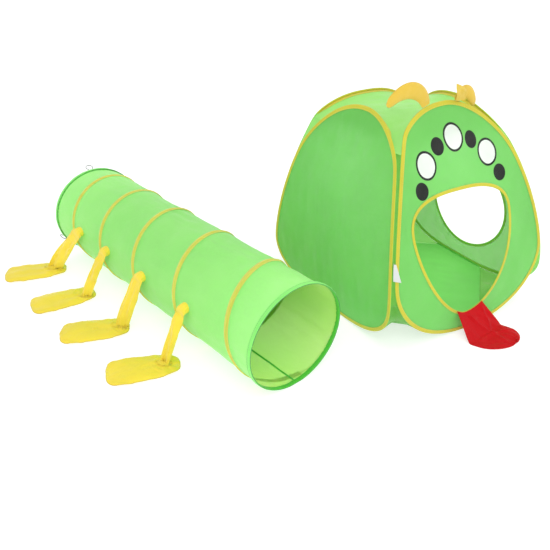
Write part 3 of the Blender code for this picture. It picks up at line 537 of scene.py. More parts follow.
def fabric(name, colour, lining=None, glow=0.6, roughness=0.62, sheen=0.25, weave=0.5, creases=0.30,
           wear_and_shade_reach=0.012, wear_and_shade=0.35, gloss=0.35, spots=()):
    """Woven cloth: threads, mottled dye, small creases, darker along its seams from wear and painted shade,
    with its own lining side.
    """
    base = linear(colour)
    shader = Shader(name, Roughness=roughness, Sheen_Weight=sheen, Sheen_Roughness=0.45,
                    Specular_IOR_Level=gloss, Subsurface_Weight=glow, Subsurface_Scale=GLOW_DEPTH,
                    Subsurface_Radius=(1.0, 1.0, 1.0))
    along, across, from_seam = shader.cloth_place()
    deep = [channel * DEEPER for channel in base]
    light = [min(channel * LIGHTER, 1.0) for channel in base]
    broad = shader.spread(shader.noise(3.2, 2.0), 0.30, 0.70)
    colour_out = shader.mix(broad, [0.5 * (a + b) for a, b in zip(deep, base)], light)
    fine = shader.spread(shader.noise(70.0, 3.0), 0.35, 0.75, 0.0, 0.35)
    colour_out = shader.mix(fine, colour_out, base)
    inside = shader.spread(from_seam, -0.5 * LINING_MARK, -0.25 * LINING_MARK, 1.0, 0.0)
    # The lining colour on the inside face is painted light for the binding and the gusset, and painted shade
    # for the hem.
    if lining:
        colour_out = shader.mix(inside, colour_out, linear(lining))
    # Darker near each seam in a mottled band: partly wear, partly painted shade where the cloth meets its
    # tapes and seams.
    near_seam = shader.spread(shader.math("ABSOLUTE", from_seam), 0.0, wear_and_shade_reach, 1.0, 0.0)
    worn_and_shaded = shader.math("MULTIPLY", near_seam, shader.spread(shader.noise(26.0, 3.0), 0.35, 0.70))
    rubbed_and_shaded = [channel * RUBBED_AND_SHADED for channel in deep]
    colour_out = shader.mix(shader.math("MULTIPLY", worn_and_shaded, wear_and_shade), colour_out, rubbed_and_shaded)
    warp = shader.math("SINE", shader.math("MULTIPLY", along, TURN / WEAVE_PITCH))
    weft = shader.math("SINE", shader.math("MULTIPLY", across, TURN / WEAVE_PITCH))
    threads = shader.math("MULTIPLY", warp, weft)
    colour_out = shader.mix(shader.spread(threads, -1.0, 1.0, 0.0, 0.10), colour_out, deep)
    for middle, reach, rim in spots:
        away = shader.distance_from(middle, along, across)
        prints = [(INK, reach - 0.0012, reach + 0.0002)]
        if rim:
            prints.append((PALE, reach - rim - 0.0010, reach - rim))
        for dye, low, high in prints:
            cover = shader.spread(away, low, high, 1.0, 0.0)
            cover = shader.math("SUBTRACT", cover, inside, clamp=True)
            colour_out = shader.mix(cover, colour_out, linear(dye))
    rough = shader.spread(shader.noise(18.0, 2.0), 0.3, 0.7, roughness - 0.06, roughness + 0.06)
    folds = shader.bump(shader.noise(13.0, 3.0, distortion=0.6), 0.006, creases)
    small = shader.bump(shader.noise(60.0, 2.0, distortion=0.4), 0.0009, creases, Normal=folds)
    normal = shader.bump(threads, 0.00012, weave, Normal=small)
    shader.feed(Base_Color=colour_out, Roughness=rough, Normal=normal)
    return shader.material


def thread(name, colour):
    shader = Shader(name, Roughness=0.55, Sheen_Weight=0.2, Specular_IOR_Level=0.4)
    base = linear(colour)
    tint = shader.mix(shader.spread(shader.noise(140.0), 0.3, 0.7), [c * 0.82 for c in base], base)
    shader.feed(Base_Color=tint, Normal=shader.bump(shader.noise(900.0, 1.0), 0.0001, 0.5))
    return shader.material


def spring_steel():
    shader = Shader("spring_steel", Roughness=0.32, Metallic=1.0)
    tint = shader.mix(shader.noise(55.0, 3.0), linear((150, 152, 156)), linear((196, 198, 202)))
    shader.feed(Base_Color=tint, Roughness=shader.spread(shader.noise(240.0), 0.3, 0.7, 0.26, 0.40))
    return shader.material


def print_spots():
    """An arch of plain round spots over the mouth, rimmed and solid by turns."""
    spots = []
    for i, angle in enumerate(np.linspace(-SPOT_SPREAD, SPOT_SPREAD, SPOT_COUNT)):
        middle = (SPOT_ARCH_MIDDLE[0] + SPOT_ARCH[0] * math.sin(angle),
                  SPOT_ARCH_MIDDLE[1] + SPOT_ARCH[1] * math.cos(angle))
        spots.append((middle, SPOT_RADII[(i + 1) % 2], 0.0 if i % 2 == 0 else SPOT_RIM))
    return spots


TUNNEL_CLOTH = fabric("tunnel_cloth", (142, 253, 112), (168, 230, 92), glow=0.72, sheen=0.12, creases=0.45)
# The front wall's base colour is lighter than the side and back walls', painted light where the key lamp
# falls on it; the roof's base is lighter still, painted light from above.
FRONT_CLOTH = fabric("front_cloth", (107, 196, 86), (117, 202, 78), glow=0.7, sheen=0.12, spots=print_spots())
SIDE_CLOTH = fabric("side_cloth", (96, 183, 74), (112, 195, 74), glow=0.7, sheen=0.12)
BACK_CLOTH = fabric("back_cloth", (96, 183, 74), (112, 195, 74), glow=0.7, sheen=0.12)
ROOF_CLOTH = fabric("roof_cloth", (146, 240, 104), (128, 212, 92), glow=0.8, sheen=0.12)
FLOOR_CLOTH = fabric("floor_cloth", (120, 218, 94), glow=0.3, sheen=0.12, creases=0.12)
# The gusset's outside colour is darker than the walls', painted shade in the recessed corner fold; its lining
# is lighter, painted light where little light reaches the fold's inside.
GUSSET_CLOTH = fabric("gusset_cloth", (90, 168, 50), (138, 224, 98), glow=0.6, sheen=0.12)
# The binding's lining colour is painted light: a bright green on the tape's inner face, which faces down into
# shade.
BINDING = fabric("binding", (206, 196, 46), (152, 216, 86), glow=0.15, weave=0.8, creases=0.15,
                 wear_and_shade_reach=0.0015)
BAND = fabric("coil_band", (240, 240, 84), (222, 226, 96), glow=0.70, weave=0.8, creases=0.15,
              wear_and_shade_reach=0.0010)
LEG_CLOTH = fabric("leg_cloth", (238, 214, 60), glow=0.18, roughness=0.55, creases=0.22, wear_and_shade=0.15)
LEG_SEAM = fabric("leg_seam", (206, 178, 40), glow=0.05, creases=0.2, wear_and_shade=0.1)
ANTENNA_CLOTH = fabric("antenna_cloth", (218, 184, 62), glow=0.25, roughness=0.55, creases=0.2, wear_and_shade=0.15)
TONGUE_RED = fabric("tongue_red", (196, 8, 18), glow=0.05, sheen=0.03, gloss=0.15, roughness=0.65,
                    creases=0.40)
# The hem's lining is a darker green, painted shade on its inner leg inside the rim.
HEM_CLOTH = fabric("hem_cloth", (136, 244, 112), (84, 208, 60), glow=0.4, creases=0.2, sheen=0.12,
                   wear_and_shade_reach=0.0015)
# The label's base is grey rather than white: painted shade standing for the shading across its fold.
LABEL_SHADED_WHITE = fabric("label_shaded_white", (214, 214, 216), glow=0.10, creases=0.1, wear_and_shade_reach=0.001)
# Dark green of the bead along the tunnel's rim: partly the hem's edge, partly painted shadow in the rim's
# crease.
HEM_EDGE_SHADOW = thread("hem_edge_shadow", (58, 138, 72))
THREAD_YELLOW = thread("thread_yellow", (226, 216, 110))
THREAD_GREEN = thread("thread_green", (64, 160, 70))
CORD_GREEN = thread("cord_green", (14, 74, 38))
STEEL = spring_steel()
WALL_MATERIALS = {"front": FRONT_CLOTH, "right": SIDE_CLOTH, "left": SIDE_CLOTH, "back": BACK_CLOTH}


# Tent walls

class Wall:
    """One side of the tent in the tent's frame: u runs along it, z up, and n outward from its cloth."""

    def __init__(self, turn, reach, lean, bow, widest, height, upper, lower):
        c, s = math.cos(turn), math.sin(turn)
        self.out = np.array((s, -c, 0.0))
        self.along = np.array((c, s, 0.0))
        self.reach = reach
        self.lean = lean
        self.bow = bow
        self.widest = widest
        self.height = height
        self.upper = np.array(upper)
        self.lower = np.array(lower)
        self.neighbours = ()

    def distance(self, z):
        rise = z - BELT_HEIGHT
        return self.reach - self.lean * rise - self.bow * (rise / BOW_SPAN) ** 2

    def normal(self, z):
        rise = np.asarray(z, float)[..., None] - BELT_HEIGHT
        return unit(self.out + UP * (self.lean + 2.0 * self.bow * rise / BOW_SPAN ** 2))

    def point(self, uz, n=0.0):
        u, z = uz[..., 0], uz[..., 1]
        offset = np.broadcast_to(n, z.shape)[..., None]
        flat = self.out * self.distance(z)[..., None] + self.along * u[..., None] + UP * z[..., None]
        return flat + self.normal(z) * offset

    def hoop(self, angle):
        side, rise = np.sin(angle), np.cos(angle)
        hand = (side > 0.0).astype(int)
        power = 2.0 / np.where(rise > 0.0, self.upper[hand], self.lower[hand])
        reach = np.where(rise > 0.0, self.height - self.widest, self.widest - GROUND_CLEAR)
        z = self.widest + np.sign(rise) * reach * np.abs(rise) ** power
        low, high = self.neighbours
        beside = np.where(hand, high.distance(self.widest), low.distance(self.widest))
        u = (beside - HOOP_SPACING + HOOP_FULLNESS) * np.abs(side) ** power
        limit = np.where(hand, high.distance(z), low.distance(z)) - HOOP_SPACING
        spread = np.abs(u - limit) / CORNER_SOFTNESS
        u = np.minimum(u, limit) - CORNER_SOFTNESS * np.log1p(np.exp(-spread))
        return np.stack((np.copysign(u, side), z), -1)

    def angle_at(self, z, hand):
        """The hoop's angle from its top where its wire is at height z; hand is -1 or 1."""
        above = np.clip((z - self.widest) / (self.height - self.widest), 0.0, 1.0)
        below = np.clip((self.widest - z) / (self.widest - GROUND_CLEAR), 0.0, 1.0)
        high = np.arccos(above ** (self.upper[int(hand > 0)] / 2.0))
        low = math.pi - np.arccos(below ** (self.lower[int(hand > 0)] / 2.0))
        return hand * np.where(z > self.widest, high, low)

    def cloth_edge(self, angle):
        """Where a sheet sewn to the tape's corner inside the hoop's crown starts."""
        uz = self.hoop(angle)
        along = self.hoop(angle + 0.01) - self.hoop(angle - 0.01)
        outward = unit(quarter_turn(along))
        from_middle = uz - (0.0, self.widest)
        outward = outward * np.sign(np.sum(outward * from_middle, -1, keepdims=True))
        wire_middle = self.point(uz)
        crown = unit(self.point(uz + outward * 0.01) - wire_middle)
        reach = HOOP_REACH + (GAP + 0.5 * CLOTH) / math.sqrt(2.0)
        return wire_middle + crown * reach - self.normal(uz[..., 1]) * reach


# Each wall's turn, reach, lean, bow, widest and crown heights, and its corners' roundness above and below
WALLS = {
    "front": Wall(0.0, 0.463, 0.331, 0.0838, 0.36, 0.972, (2.30, 1.85), (2.20, 2.05)),
    "right": Wall(0.5 * math.pi, 0.436, 0.210, 0.0837, 0.26, 0.933, (1.85, 2.20), (2.90, 2.90)),
    "back": Wall(math.pi, 0.424, 0.150, 0.030, 0.36, 0.912, (2.30, 2.50), (2.20, 2.20)),
    "left": Wall(-0.5 * math.pi, 0.436, 0.210, 0.0837, 0.26, 0.933, (2.20, 1.85), (2.90, 2.90)),
}
for side_name, low_side, high_side in (("front", "left", "right"), ("right", "front", "back"),
                                       ("back", "right", "left"), ("left", "back", "front")):
    WALLS[side_name].neighbours = (WALLS[low_side], WALLS[high_side])
PANEL_OF = {"front": "front_panel", "right": "right_panel", "back": "back_panel", "left": "tent_base"}
HINGE_X = WALLS["left"].distance(WALLS["front"].widest)
HINGE_Y = WALLS["front"].distance(WALLS["front"].widest)
BACK_HINGE_Y = WALLS["back"].distance(WALLS["back"].widest)


def dress(piece, body, material, slot_name, *nodes):
    piece.data.materials.append(material)
    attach(piece, body)
    if nodes:
        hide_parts(*nodes)


def squash_side(piece):
    """Gives a wall's piece a mesh of its own."""
    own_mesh(piece)


def on_side(piece, side, material, slot_name, *nodes, body=None):
    """Dress a piece of one tent side: its body and finish."""
    dress(piece, body or PANEL_OF[side], material, slot_name, *nodes)
    squash_side(piece)


def oval(angle, half_width, widest, low, high, upper, lower):
    side, rise = np.sin(angle), np.cos(angle)
    power = 2.0 / np.where(rise > 0.0, upper, lower)
    reach = np.where(rise > 0.0, high - widest, widest - low)
    return np.stack((np.copysign(half_width * np.abs(side) ** power, side),
                     widest + np.copysign(reach * np.abs(rise) ** power, rise)), -1)


def mouth_outline(angle):
    lower = np.where(np.sin(angle) > 0.0, MOUTH_RIGHT_ROUNDNESS, MOUTH_LOWER_ROUNDNESS)
    outline = oval(angle, MOUTH_HALF_WIDTH, MOUTH_SHOULDER, MOUTH_BOTTOM, MOUTH_TOP,
                   MOUTH_UPPER_ROUNDNESS, lower)
    return outline + (MOUTH_SHIFT, 0.0)


def port_outline(angle):
    return np.stack((PORT_SHIFT + PORT_RADIUS * np.sin(angle), PORT_HEIGHT + PORT_RADIUS * np.cos(angle)), -1)


def even_outline(curve, count):
    """Points at equal spacing round a closed outline, and unit vectors into it."""
    trail = curve(np.linspace(0.0, TURN, 2881))
    points = along_path(trail, path_lengths(trail)[-1] * np.arange(count) / count)[0]
    along = np.roll(points, -1, 0) - np.roll(points, 1, 0)
    return points, unit(-quarter_turn(along))


def wall_cloth(side, outline, seed):
    """One wall's cloth, from inside its hoop to its opening or its middle, softly creased."""
    wall = WALLS[side]
    hoop, inward = even_outline(wall.hoop, OUTLINE_POINTS)
    outer = hoop + inward * (HOOP_WIRE_RADIUS + GAP + 0.5 * CLOTH)
    if outline:
        hole, into = even_outline(outline, OUTLINE_POINTS)
        inner = hole - into * (2.0 * GAP + CLOTH)
    else:
        middle = np.array((0.0, 0.5 * (wall.height + GROUND_CLEAR)))
        inner = middle + (outer - middle) * 0.02
    share = np.linspace(0.0, 1.0, WALL_RINGS)[:, None, None]
    uz = outer + (inner - outer) * share
    width = np.linalg.norm(inner - outer, axis=1)[None, :]
    share = share[:, :, 0]
    from_hoop = share * width - HOOP_TAPE_WIDTH
    from_hole = (1.0 - share) * width - OPENING_TAPE_WIDTH if outline else 1.0 + 0.0 * from_hoop
    edge = np.minimum(from_hoop, from_hole)
    arc = np.broadcast_to(path_lengths(hoop)[None, :], edge.shape)
    u, z = uz[..., 0], uz[..., 1]
    relief = 0.0030 * ripple(u, z, seed, 0.22, 0.60) * smooth(edge / 0.08)
    relief += 0.0010 * ripple(u, 0.6 * z, seed + 1, 0.05, 0.15) * smooth(edge / 0.03)
    phase = TURN * arc / 0.024 + 2.4 * ripple(arc, 0.0, seed + 2, 0.08, 0.3)
    pucker = np.exp(-np.maximum(from_hoop, 0.0) / 0.016) + np.exp(-np.maximum(from_hole, 0.0) / 0.014)
    relief += 0.0007 * np.sin(phase) * pucker * smooth(edge / 0.006)
    grid = wall.point(uz, relief)
    cloth = together(u, z, np.maximum(edge, 0.0))
    return grid_cloth(side + "_wall_cloth", grid, CLOTH, in_tent, cloth, wrap=True, cap=not outline)


def thickened(path):
    """A closed ring round a flat path, one cloth thick."""
    reach = 0.5 * CLOTH * quarter_turn(unit(np.gradient(path, axis=0)))
    return np.concatenate((path + reach, (path - reach)[::-1]))


def folded_section(width, crown, tip):
    """A tape's section folded over an edge, as a closed ring of depths inward and offsets."""
    depth = width * np.linspace(1.0, 0.0, 6, endpoint=False)
    side = tip + (crown - tip) * (1.0 - smooth(depth / width / 0.8))
    turn = np.linspace(0.0, math.pi, 9)
    path = np.concatenate((
        np.stack((depth, side), -1),
        np.stack((-crown * np.sin(turn), crown * np.cos(turn)), -1),
        np.stack((depth, -side), -1)[::-1],
    ))
    return thickened(path)


def folded_tape(name, side, points, inward, width, crown, tip, seed):
    """Binding folded over a hoop or an opening's edge, a little full between its stitches."""
    wall = WALLS[side]
    section = folded_section(width, crown, tip)
    arc = path_lengths(points)[:, None]
    depth, offset = section[None, :, 0], section[None, :, 1]
    full = 1.0 + 0.10 * ripple(arc, depth, seed, 0.03, 0.10) * smooth((width - depth) / width)
    uz = points[:, None] + inward[:, None] * depth[..., None]
    rings = wall.point(uz, offset * full)
    edge = np.minimum(width - depth, depth + crown)
    # Below the roof the tape's inner face is marked for the lining colour, painted light on its shaded side.
    inside = (offset <= 0.0) & (uz[..., 1] < UPPER_GUSSET_FOOT + 0.03)
    edge = np.where(inside, -np.abs(edge) - LINING_MARK, edge)
    cloth = together(arc, depth, edge)
    return tube(name, rings, in_tent, cloth, closed=True)


def tape_stitches(name, side, points, inward, depth, offset):
    wall = WALLS[side]
    uz = points + inward * depth
    out = wall.normal(uz[:, 1])
    rows = [stitch_row(wall.point(uz, hand * offset), hand * out, closed=True) for hand in (1.0, -1.0)]
    return stitches(name, rows, in_tent)


def enclosed(outline):
    """The area inside a closed outline."""
    x, y = outline.T
    return float(0.5 * abs(np.sum(x * np.roll(y, 1) - y * np.roll(x, 1))))


def tent_side(side, outline, seed):
    """One wall with its hoop, its tape and the tape's stitches."""
    wall = WALLS[side]
    points, inward = even_outline(wall.hoop, OUTLINE_POINTS)
    area = enclosed(points)
    if outline:
        area -= enclosed(even_outline(outline, OUTLINE_POINTS)[0])
    made = wall_cloth(side, outline, seed)
    on_side(made, side, WALL_MATERIALS[side], "green_cloth", side + "_wall")
    tape = folded_tape(side + "_hoop_binding", side, points, inward, HOOP_TAPE_WIDTH,
                       HOOP_REACH - 0.5 * CLOTH, OUTER_TAPE_TIP, seed + 5)
    on_side(tape, side, BINDING, "yellow_tape", side + "_hoop_tape")
    hoop = wire(side + "_hoop_wire", wall.point(points), HOOP_WIRE_RADIUS, in_tent, closed=True)
    on_side(hoop, side, STEEL, "spring_steel", side + "_hoop")
    sewn = tape_stitches(side + "_hoop_stitches", side, points, inward, HOOP_TAPE_WIDTH - 0.0026, 0.0019)
    on_side(sewn, side, THREAD_YELLOW, "yellow_tape")


def opening_binding(name, side, outline, seed):
    points, into = even_outline(outline, OUTLINE_POINTS)
    tape = folded_tape(name + "_binding", side, points, -into, OPENING_TAPE_WIDTH, OPENING_TAPE_CROWN,
                       OPENING_TAPE_TIP, seed)
    on_side(tape, side, BINDING, "yellow_tape", name + "_tape")
    sewn = tape_stitches(name + "_stitches", side, points, -into, OPENING_TAPE_WIDTH - 0.0024, 0.0018)
    on_side(sewn, side, THREAD_YELLOW, "yellow_tape")


# Corner gussets, floor and roof

CORNERS = {
    "front_left": (("front", -1.0), ("left", 1.0)),
    "front_right": (("front", 1.0), ("right", -1.0)),
    "back_right": (("back", -1.0), ("right", 1.0)),
    "back_left": (("back", 1.0), ("left", -1.0)),
}


def floor_corners():
    """The floor's corners, by the wall and its hand, in their order round the floor."""
    corners = {}
    for side, wall in WALLS.items():
        edge = wall.distance(0.0) - HOOP_REACH - GAP
        for hand in (-1.0, 1.0):
            u = wall.hoop(wall.angle_at(np.array(GROUND_CLEAR + GUSSET_FOOT), hand))[..., 0]
            corners[side, hand] = wall.out * edge + wall.along * u
    return corners


def corner_edges(corner, z):
    return [WALLS[side].cloth_edge(WALLS[side].angle_at(z, hand)) for side, hand in CORNERS[corner]]


def corner_gusset(corner, seed):
    """The strip between two hoops: folded inward at the floor, a narrow seam above."""
    feet = [floor_corners()[place] + UP * 0.5 * CLOTH for place in CORNERS[corner]]
    low = GROUND_CLEAR + GUSSET_FOOT
    z = low + (UPPER_GUSSET_FOOT + GUSSET_OVERLAP - low) * np.linspace(0.0, 1.0, 90) ** 1.3
    start, end = corner_edges(corner, z)
    along = unit(end - start)
    start = np.concatenate((feet[0][None], start - along * GUSSET_TUCK))
    end = np.concatenate((feet[1][None], end + along * GUSSET_TUCK))
    middle = 0.5 * (start + end)
    fold_top = int(np.argmax(middle[:, 2] > GUSSET_FOLD_HEIGHT))
    share = (middle[:, 2:] - middle[0, 2]) / (middle[fold_top, 2] - middle[0, 2])
    straight = middle[:1] + (middle[fold_top] - middle[0]) * share
    draw = np.where(share < 1.0, straight - middle, 0.0)
    deepest = 0.5 * np.linalg.norm(end - start, axis=1, keepdims=True)
    draw = draw * np.minimum(1.0, deepest / np.maximum(np.linalg.norm(draw, axis=1, keepdims=True), 1e-9))
    s = np.linspace(-1.0, 1.0, 13)[None, :, None]
    grid = start[:, None] * (1.0 - s) * 0.5 + end[:, None] * (1.0 + s) * 0.5
    grid = grid + draw[:, None] * (1.0 - np.sqrt(s * s + 0.01) + 0.05 * (1.0 - s * s)) * 0.97
    width = np.linalg.norm(end - start, axis=1)[:, None]
    height = grid[..., 2]
    normals = grid_normals(grid)
    held = (1.0 - s[..., 0] ** 2) * smooth(height / 0.03)
    relief = 0.0016 * ripple(0.5 * s[..., 0] * width, height, seed, 0.04, 0.14) * held
    relief *= np.minimum(width / 0.06, 1.0)
    grid = grid + normals * relief[..., None]
    edge = 0.5 * width * (1.0 - np.abs(s[..., 0]))
    cloth = together(0.5 * s[..., 0] * width, height, edge)
    made = grid_cloth(corner + "_gusset_cloth", grid, CLOTH, in_tent, cloth)
    on_side(made, "right" if "right" in corner else "left", GUSSET_CLOTH, "green_cloth", corner + "_gusset")


def tent_floor():
    corners = np.array(list(floor_corners().values()))
    ring = np.concatenate((corners, corners[:1]))
    outline = along_path(ring, path_lengths(ring)[-1] * np.arange(OUTLINE_POINTS) / OUTLINE_POINTS)[0]
    middle = outline.mean(0)
    share = np.concatenate(((1.0,), np.linspace(1.0, 0.02, 34)))[:, None, None]
    grid = middle + (outline - middle) * share
    edge = (1.0 - share[..., 0]) * np.linalg.norm(outline - middle, axis=1)[None, :]
    x, y = grid[..., 0], grid[..., 1]
    rise = 0.0012 * (1.0 + ripple(x, y, 61, 0.16, 0.40)) + 0.0003 * (1.0 + ripple(x, y, 62, 0.05, 0.10))
    grid[..., 2] = 0.5 * CLOTH + np.maximum(rise, 0.0) * smooth((edge - 0.004) / 0.05)
    beside = np.min([np.abs(wall.distance(0.0) - HOOP_REACH - GAP - outline @ wall.out)
                     for wall in WALLS.values()], 0)
    grid[0, :, 2] += FLOOR_TURN_UP * (1.0 - smooth(beside / 0.004))
    grid[0] += (middle - outline) * 0.0008
    cloth = together(x, y, edge)
    made = grid_cloth("floor_cloth", grid, CLOTH, in_tent, cloth, wrap=True, cap=True)
    on_side(made, "left", FLOOR_CLOTH, "green_cloth", "floor")


def roof_edge(side):
    """Where the roof is sewn: at the corners to the tape's crown, between them inside the tape's leg."""
    wall = WALLS[side]
    ends = [float(wall.angle_at(np.array(UPPER_GUSSET_FOOT), hand)) for hand in (-1.0, 1.0)]
    angle = np.linspace(*ends, ROOF_STEPS + 1)
    uz = wall.hoop(angle)
    along = unit(wall.hoop(angle + 0.01) - wall.hoop(angle - 0.01))
    inside_leg = wall.point(uz - quarter_turn(along) * ROOF_SEAM_DEPTH, -0.0016 - CLOTH)
    step = np.arange(ROOF_STEPS + 1)
    share = smooth(np.minimum(step, ROOF_STEPS - step) / (0.12 * ROOF_STEPS))[:, None]
    return wall.cloth_edge(angle) * (1.0 - share) + inside_leg * share


def roof_surface():
    """A stretched sheet between the four crowns, as a grid from front to back and left to right."""
    front, right = roof_edge("front"), roof_edge("right")
    back, left = roof_edge("back")[::-1], roof_edge("left")[::-1]
    corner = 0.5 * np.array((front[0] + left[0], front[-1] + right[0],
                             back[0] + left[-1], back[-1] + right[-1]))
    share = np.linspace(0.0, 1.0, ROOF_STEPS + 1)[:, None]
    grid = front[None] * (1.0 - share[..., None]) + back[None] * share[..., None]
    grid[:, 0], grid[:, -1], grid[0], grid[-1] = left, right, front, back
    grid[0, 0], grid[0, -1], grid[-1, 0], grid[-1, -1] = corner
    for _ in range(ROOF_RELAXING_STEPS):
        inside = grid[:-2, 1:-1] + grid[2:, 1:-1] + grid[1:-1, :-2] + grid[1:-1, 2:]
        grid[1:-1, 1:-1] = 0.25 * inside
    return grid


def roof_wedges():
    """The roof grid's faces by the wall that each belongs to, parted along its diagonals."""
    faces = {side: [] for side in WALLS}
    half = 0.5 * ROOF_STEPS
    for j in range(ROOF_STEPS):
        for i in range(ROOF_STEPS):
            a, b, c, d = (j, i), (j, i + 1), (j + 1, i + 1), (j + 1, i)
            if i == j:
                cells = [(a, b, c), (a, c, d)]
            elif i + j == ROOF_STEPS - 1:
                cells = [(a, b, d), (b, c, d)]
            else:
                cells = [(a, b, c, d)]
            for cell in cells:
                down = sum(corner[0] for corner in cell) / len(cell) - half
                over = sum(corner[1] for corner in cell) / len(cell) - half
                if abs(down) > abs(over):
                    side = "front" if down < 0.0 else "back"
                else:
                    side = "left" if over < 0.0 else "right"
                faces[side].append([corner[0] * (ROOF_STEPS + 1) + corner[1] for corner in cell])
    return faces


def tent_roof():
    """Four wedges of cloth, one to a hoop, and the tapes that sew them on."""
    grid = roof_surface()
    across = np.linspace(-0.5, 0.5, ROOF_STEPS + 1)
    from_edge = 0.5 - np.maximum(np.abs(across)[:, None], np.abs(across)[None, :])
    x, y = grid[..., 0], grid[..., 1]
    relief = 0.0035 * ripple(x, y, 71, 0.18, 0.45) * smooth(from_edge / 0.2)
    relief += 0.0009 * ripple(x, y, 72, 0.05, 0.12) * smooth(from_edge / 0.06)
    grid = grid - grid_normals(grid) * relief[..., None]
    normals = -grid_normals(grid).reshape(-1, 3)
    cloth = together(x, y, from_edge * 0.8).reshape(-1, 3)
    points = grid.reshape(-1, 3)
    for side, own in roof_wedges().items():
        used = sorted({i for face in own for i in face})
        place_of = {old: new for new, old in enumerate(used)}
        own = [[place_of[i] for i in face] for face in own]
        made = thick_cloth(side + "_roof_cloth", points[used], normals[used], own, CLOTH, in_tent,
                           cloth[used], shared_normals=True)
        on_side(made, side, ROOF_CLOTH, "green_cloth", "roof")
    told = normals.reshape(grid.shape)
    lines = {"front": (grid[0], grid[1], told[0]), "back": (grid[-1], grid[-2], told[-1]),
             "left": (grid[:, 0], grid[:, 1], told[:, 0]), "right": (grid[:, -1], grid[:, -2], told[:, -1])}
    for side, (edge, inner, facing) in lines.items():
        roof_seam(side, edge, inner, facing)


def roof_seam(side, edge, inner, normals):
    """The tape sewn over the roof's edge along one hoop, with its row of stitches."""
    keep = slice(3, -3)
    edge, inward, normals = edge[keep], unit(inner - edge)[keep], normals[keep]
    share = np.linspace(0.0, 1.0, 7)[None, :, None]
    lift = CLOTH + 0.0004 + 0.0009 * np.sin(math.pi * share)
    step = np.arange(len(edge))
    from_end = np.minimum(step, len(edge) - 1 - step)
    width = ROOF_TAPE_WIDTH * (0.15 + 0.85 * smooth(from_end / 5.0))[:, None, None]
    grid = edge[:, None] + inward[:, None] * (0.0006 + width * share) + normals[:, None] * lift
    grid = np.stack([smooth_path(grid[:, i], 120) for i in range(7)], 1)
    arc = path_lengths(grid[:, 3])[:, None]
    across = ROOF_TAPE_WIDTH * share[..., 0]
    cloth = together(arc, across, np.minimum(across, ROOF_TAPE_WIDTH - across))
    flat_normals = grid_normals(grid)
    flat_normals = flat_normals * np.sign(flat_normals[..., 2:])
    faces = quads(*grid.shape[:2])
    first = grid.reshape(-1, 3)[faces[0]]
    if np.cross(first[2] - first[0], first[3] - first[1]) @ flat_normals[0, 0] < 0.0:
        faces = [face[::-1] for face in faces]
    tape = thick_cloth(side + "_roof_tape", grid.reshape(-1, 3), flat_normals.reshape(-1, 3), faces, CLOTH,
                       in_tent, cloth.reshape(-1, 3))
    on_side(tape, side, BINDING, "yellow_tape")
    row = stitch_row(grid[:, 5] + flat_normals[:, 5] * 0.5 * CLOTH, flat_normals[:, 5])
    on_side(stitches(side + "_roof_stitches", [row], in_tent), side, THREAD_YELLOW, "yellow_tape")


def cloth_area(points, faces):
    total = 0.0
    for face in faces:
        first = points[face[0]]
        for second, third in zip(face[1:], face[2:]):
            total += 0.5 * np.linalg.norm(np.cross(points[second] - first, points[third] - first))
    return float(total)


# Tongue, antennae and label

def mouth_foot(u):
    lower = np.where(u > MOUTH_SHIFT, MOUTH_RIGHT_ROUNDNESS, MOUTH_LOWER_ROUNDNESS)
    share = (np.abs(u - MOUTH_SHIFT) / MOUTH_HALF_WIDTH) ** lower
    return MOUTH_SHOULDER - (MOUTH_SHOULDER - MOUTH_BOTTOM) * (1.0 - share) ** (1.0 / lower)


def tongue():
    """Sewn along the mouth's lower edge, down and out to the ground, then flat to a rounded tip."""
    wall = WALLS["front"]
    share = np.linspace(-1.0, 1.0, 33)
    outside = HOOP_REACH + TONGUE_CLOTH
    root_u = MOUTH_SHIFT + TONGUE_ROOT_SHIFT
    u = root_u + share * TONGUE_ROOT_HALF_WIDTH
    root = wall.point(np.stack((u, mouth_foot(u)), -1), outside)
    middle = wall.point(np.array((root_u, mouth_foot(root_u))), outside)
    fold = np.array((root_u + TONGUE_SLOPE_DRIFT, middle[1] - TONGUE_SLOPE, 0.5 * TONGUE_CLOTH))
    tip = fold + (TONGUE_LIE_DRIFT, -TONGUE_LIE, 0.0)
    side = np.array((math.cos(TONGUE_TURN), math.sin(TONGUE_TURN), 0.0)) * TONGUE_HALF_WIDTH
    fold_row = fold + (0.0, TONGUE_KNEE, 0.5 * TONGUE_KNEE) + side * share[:, None]
    rows = [root, 0.5 * (root + fold_row), fold_row]
    for along in (0.0, 0.2, 0.4, 0.6, 0.75, 0.86, 0.94, 0.985, 1.0):
        rounding = math.sqrt(max(1.0 - max(along - 0.25, 0.0) ** 2 / 0.5725, 0.0))
        rows.append(fold + (tip - fold) * along + side * share[:, None] * rounding)
    rows = np.array(rows)
    grid = np.stack([smooth_path(rows[:, i], 56) for i in range(len(share))], 1)
    down = np.linspace(0.0, 1.0, 56)[:, None] * TONGUE_SPAN
    over = share[None, :] * TONGUE_HALF_SPAN
    lift = 0.0034 * (1.0 + ripple(over, down, 81, 0.04, 0.12))
    lift = lift + 0.0080 * crease(over - 0.45 * down + 0.035, 0.009)
    lift += 0.0075 * crease(over + 0.55 * down - 0.10, 0.008)
    lift += 0.0050 * crease(down - 0.135 - 0.25 * over, 0.007) * smooth((over + 0.09) / 0.05)
    lift *= smooth(down / 0.03) * smooth((1.0 - np.abs(share[None, :])) / 0.08 + 0.25)
    normals = grid_normals(grid)
    normals = normals * np.sign(normals[..., 2:])
    grid = grid + normals * lift[..., None]
    grid[..., 2] = np.maximum(grid[..., 2], 0.5 * TONGUE_CLOTH)
    edge = np.minimum(TONGUE_HALF_SPAN * (1.0 - np.abs(share))[None, :], TONGUE_SPAN - down)
    cloth = together(over, down, edge)
    made = grid_cloth("tongue_cloth", grid, TONGUE_CLOTH, in_tent, cloth)
    on_side(made, "front", TONGUE_RED, "red_cloth", "tongue", body="tongue")
    area = cloth_area(grid.reshape(-1, 3), quads(*grid.shape[:2]))


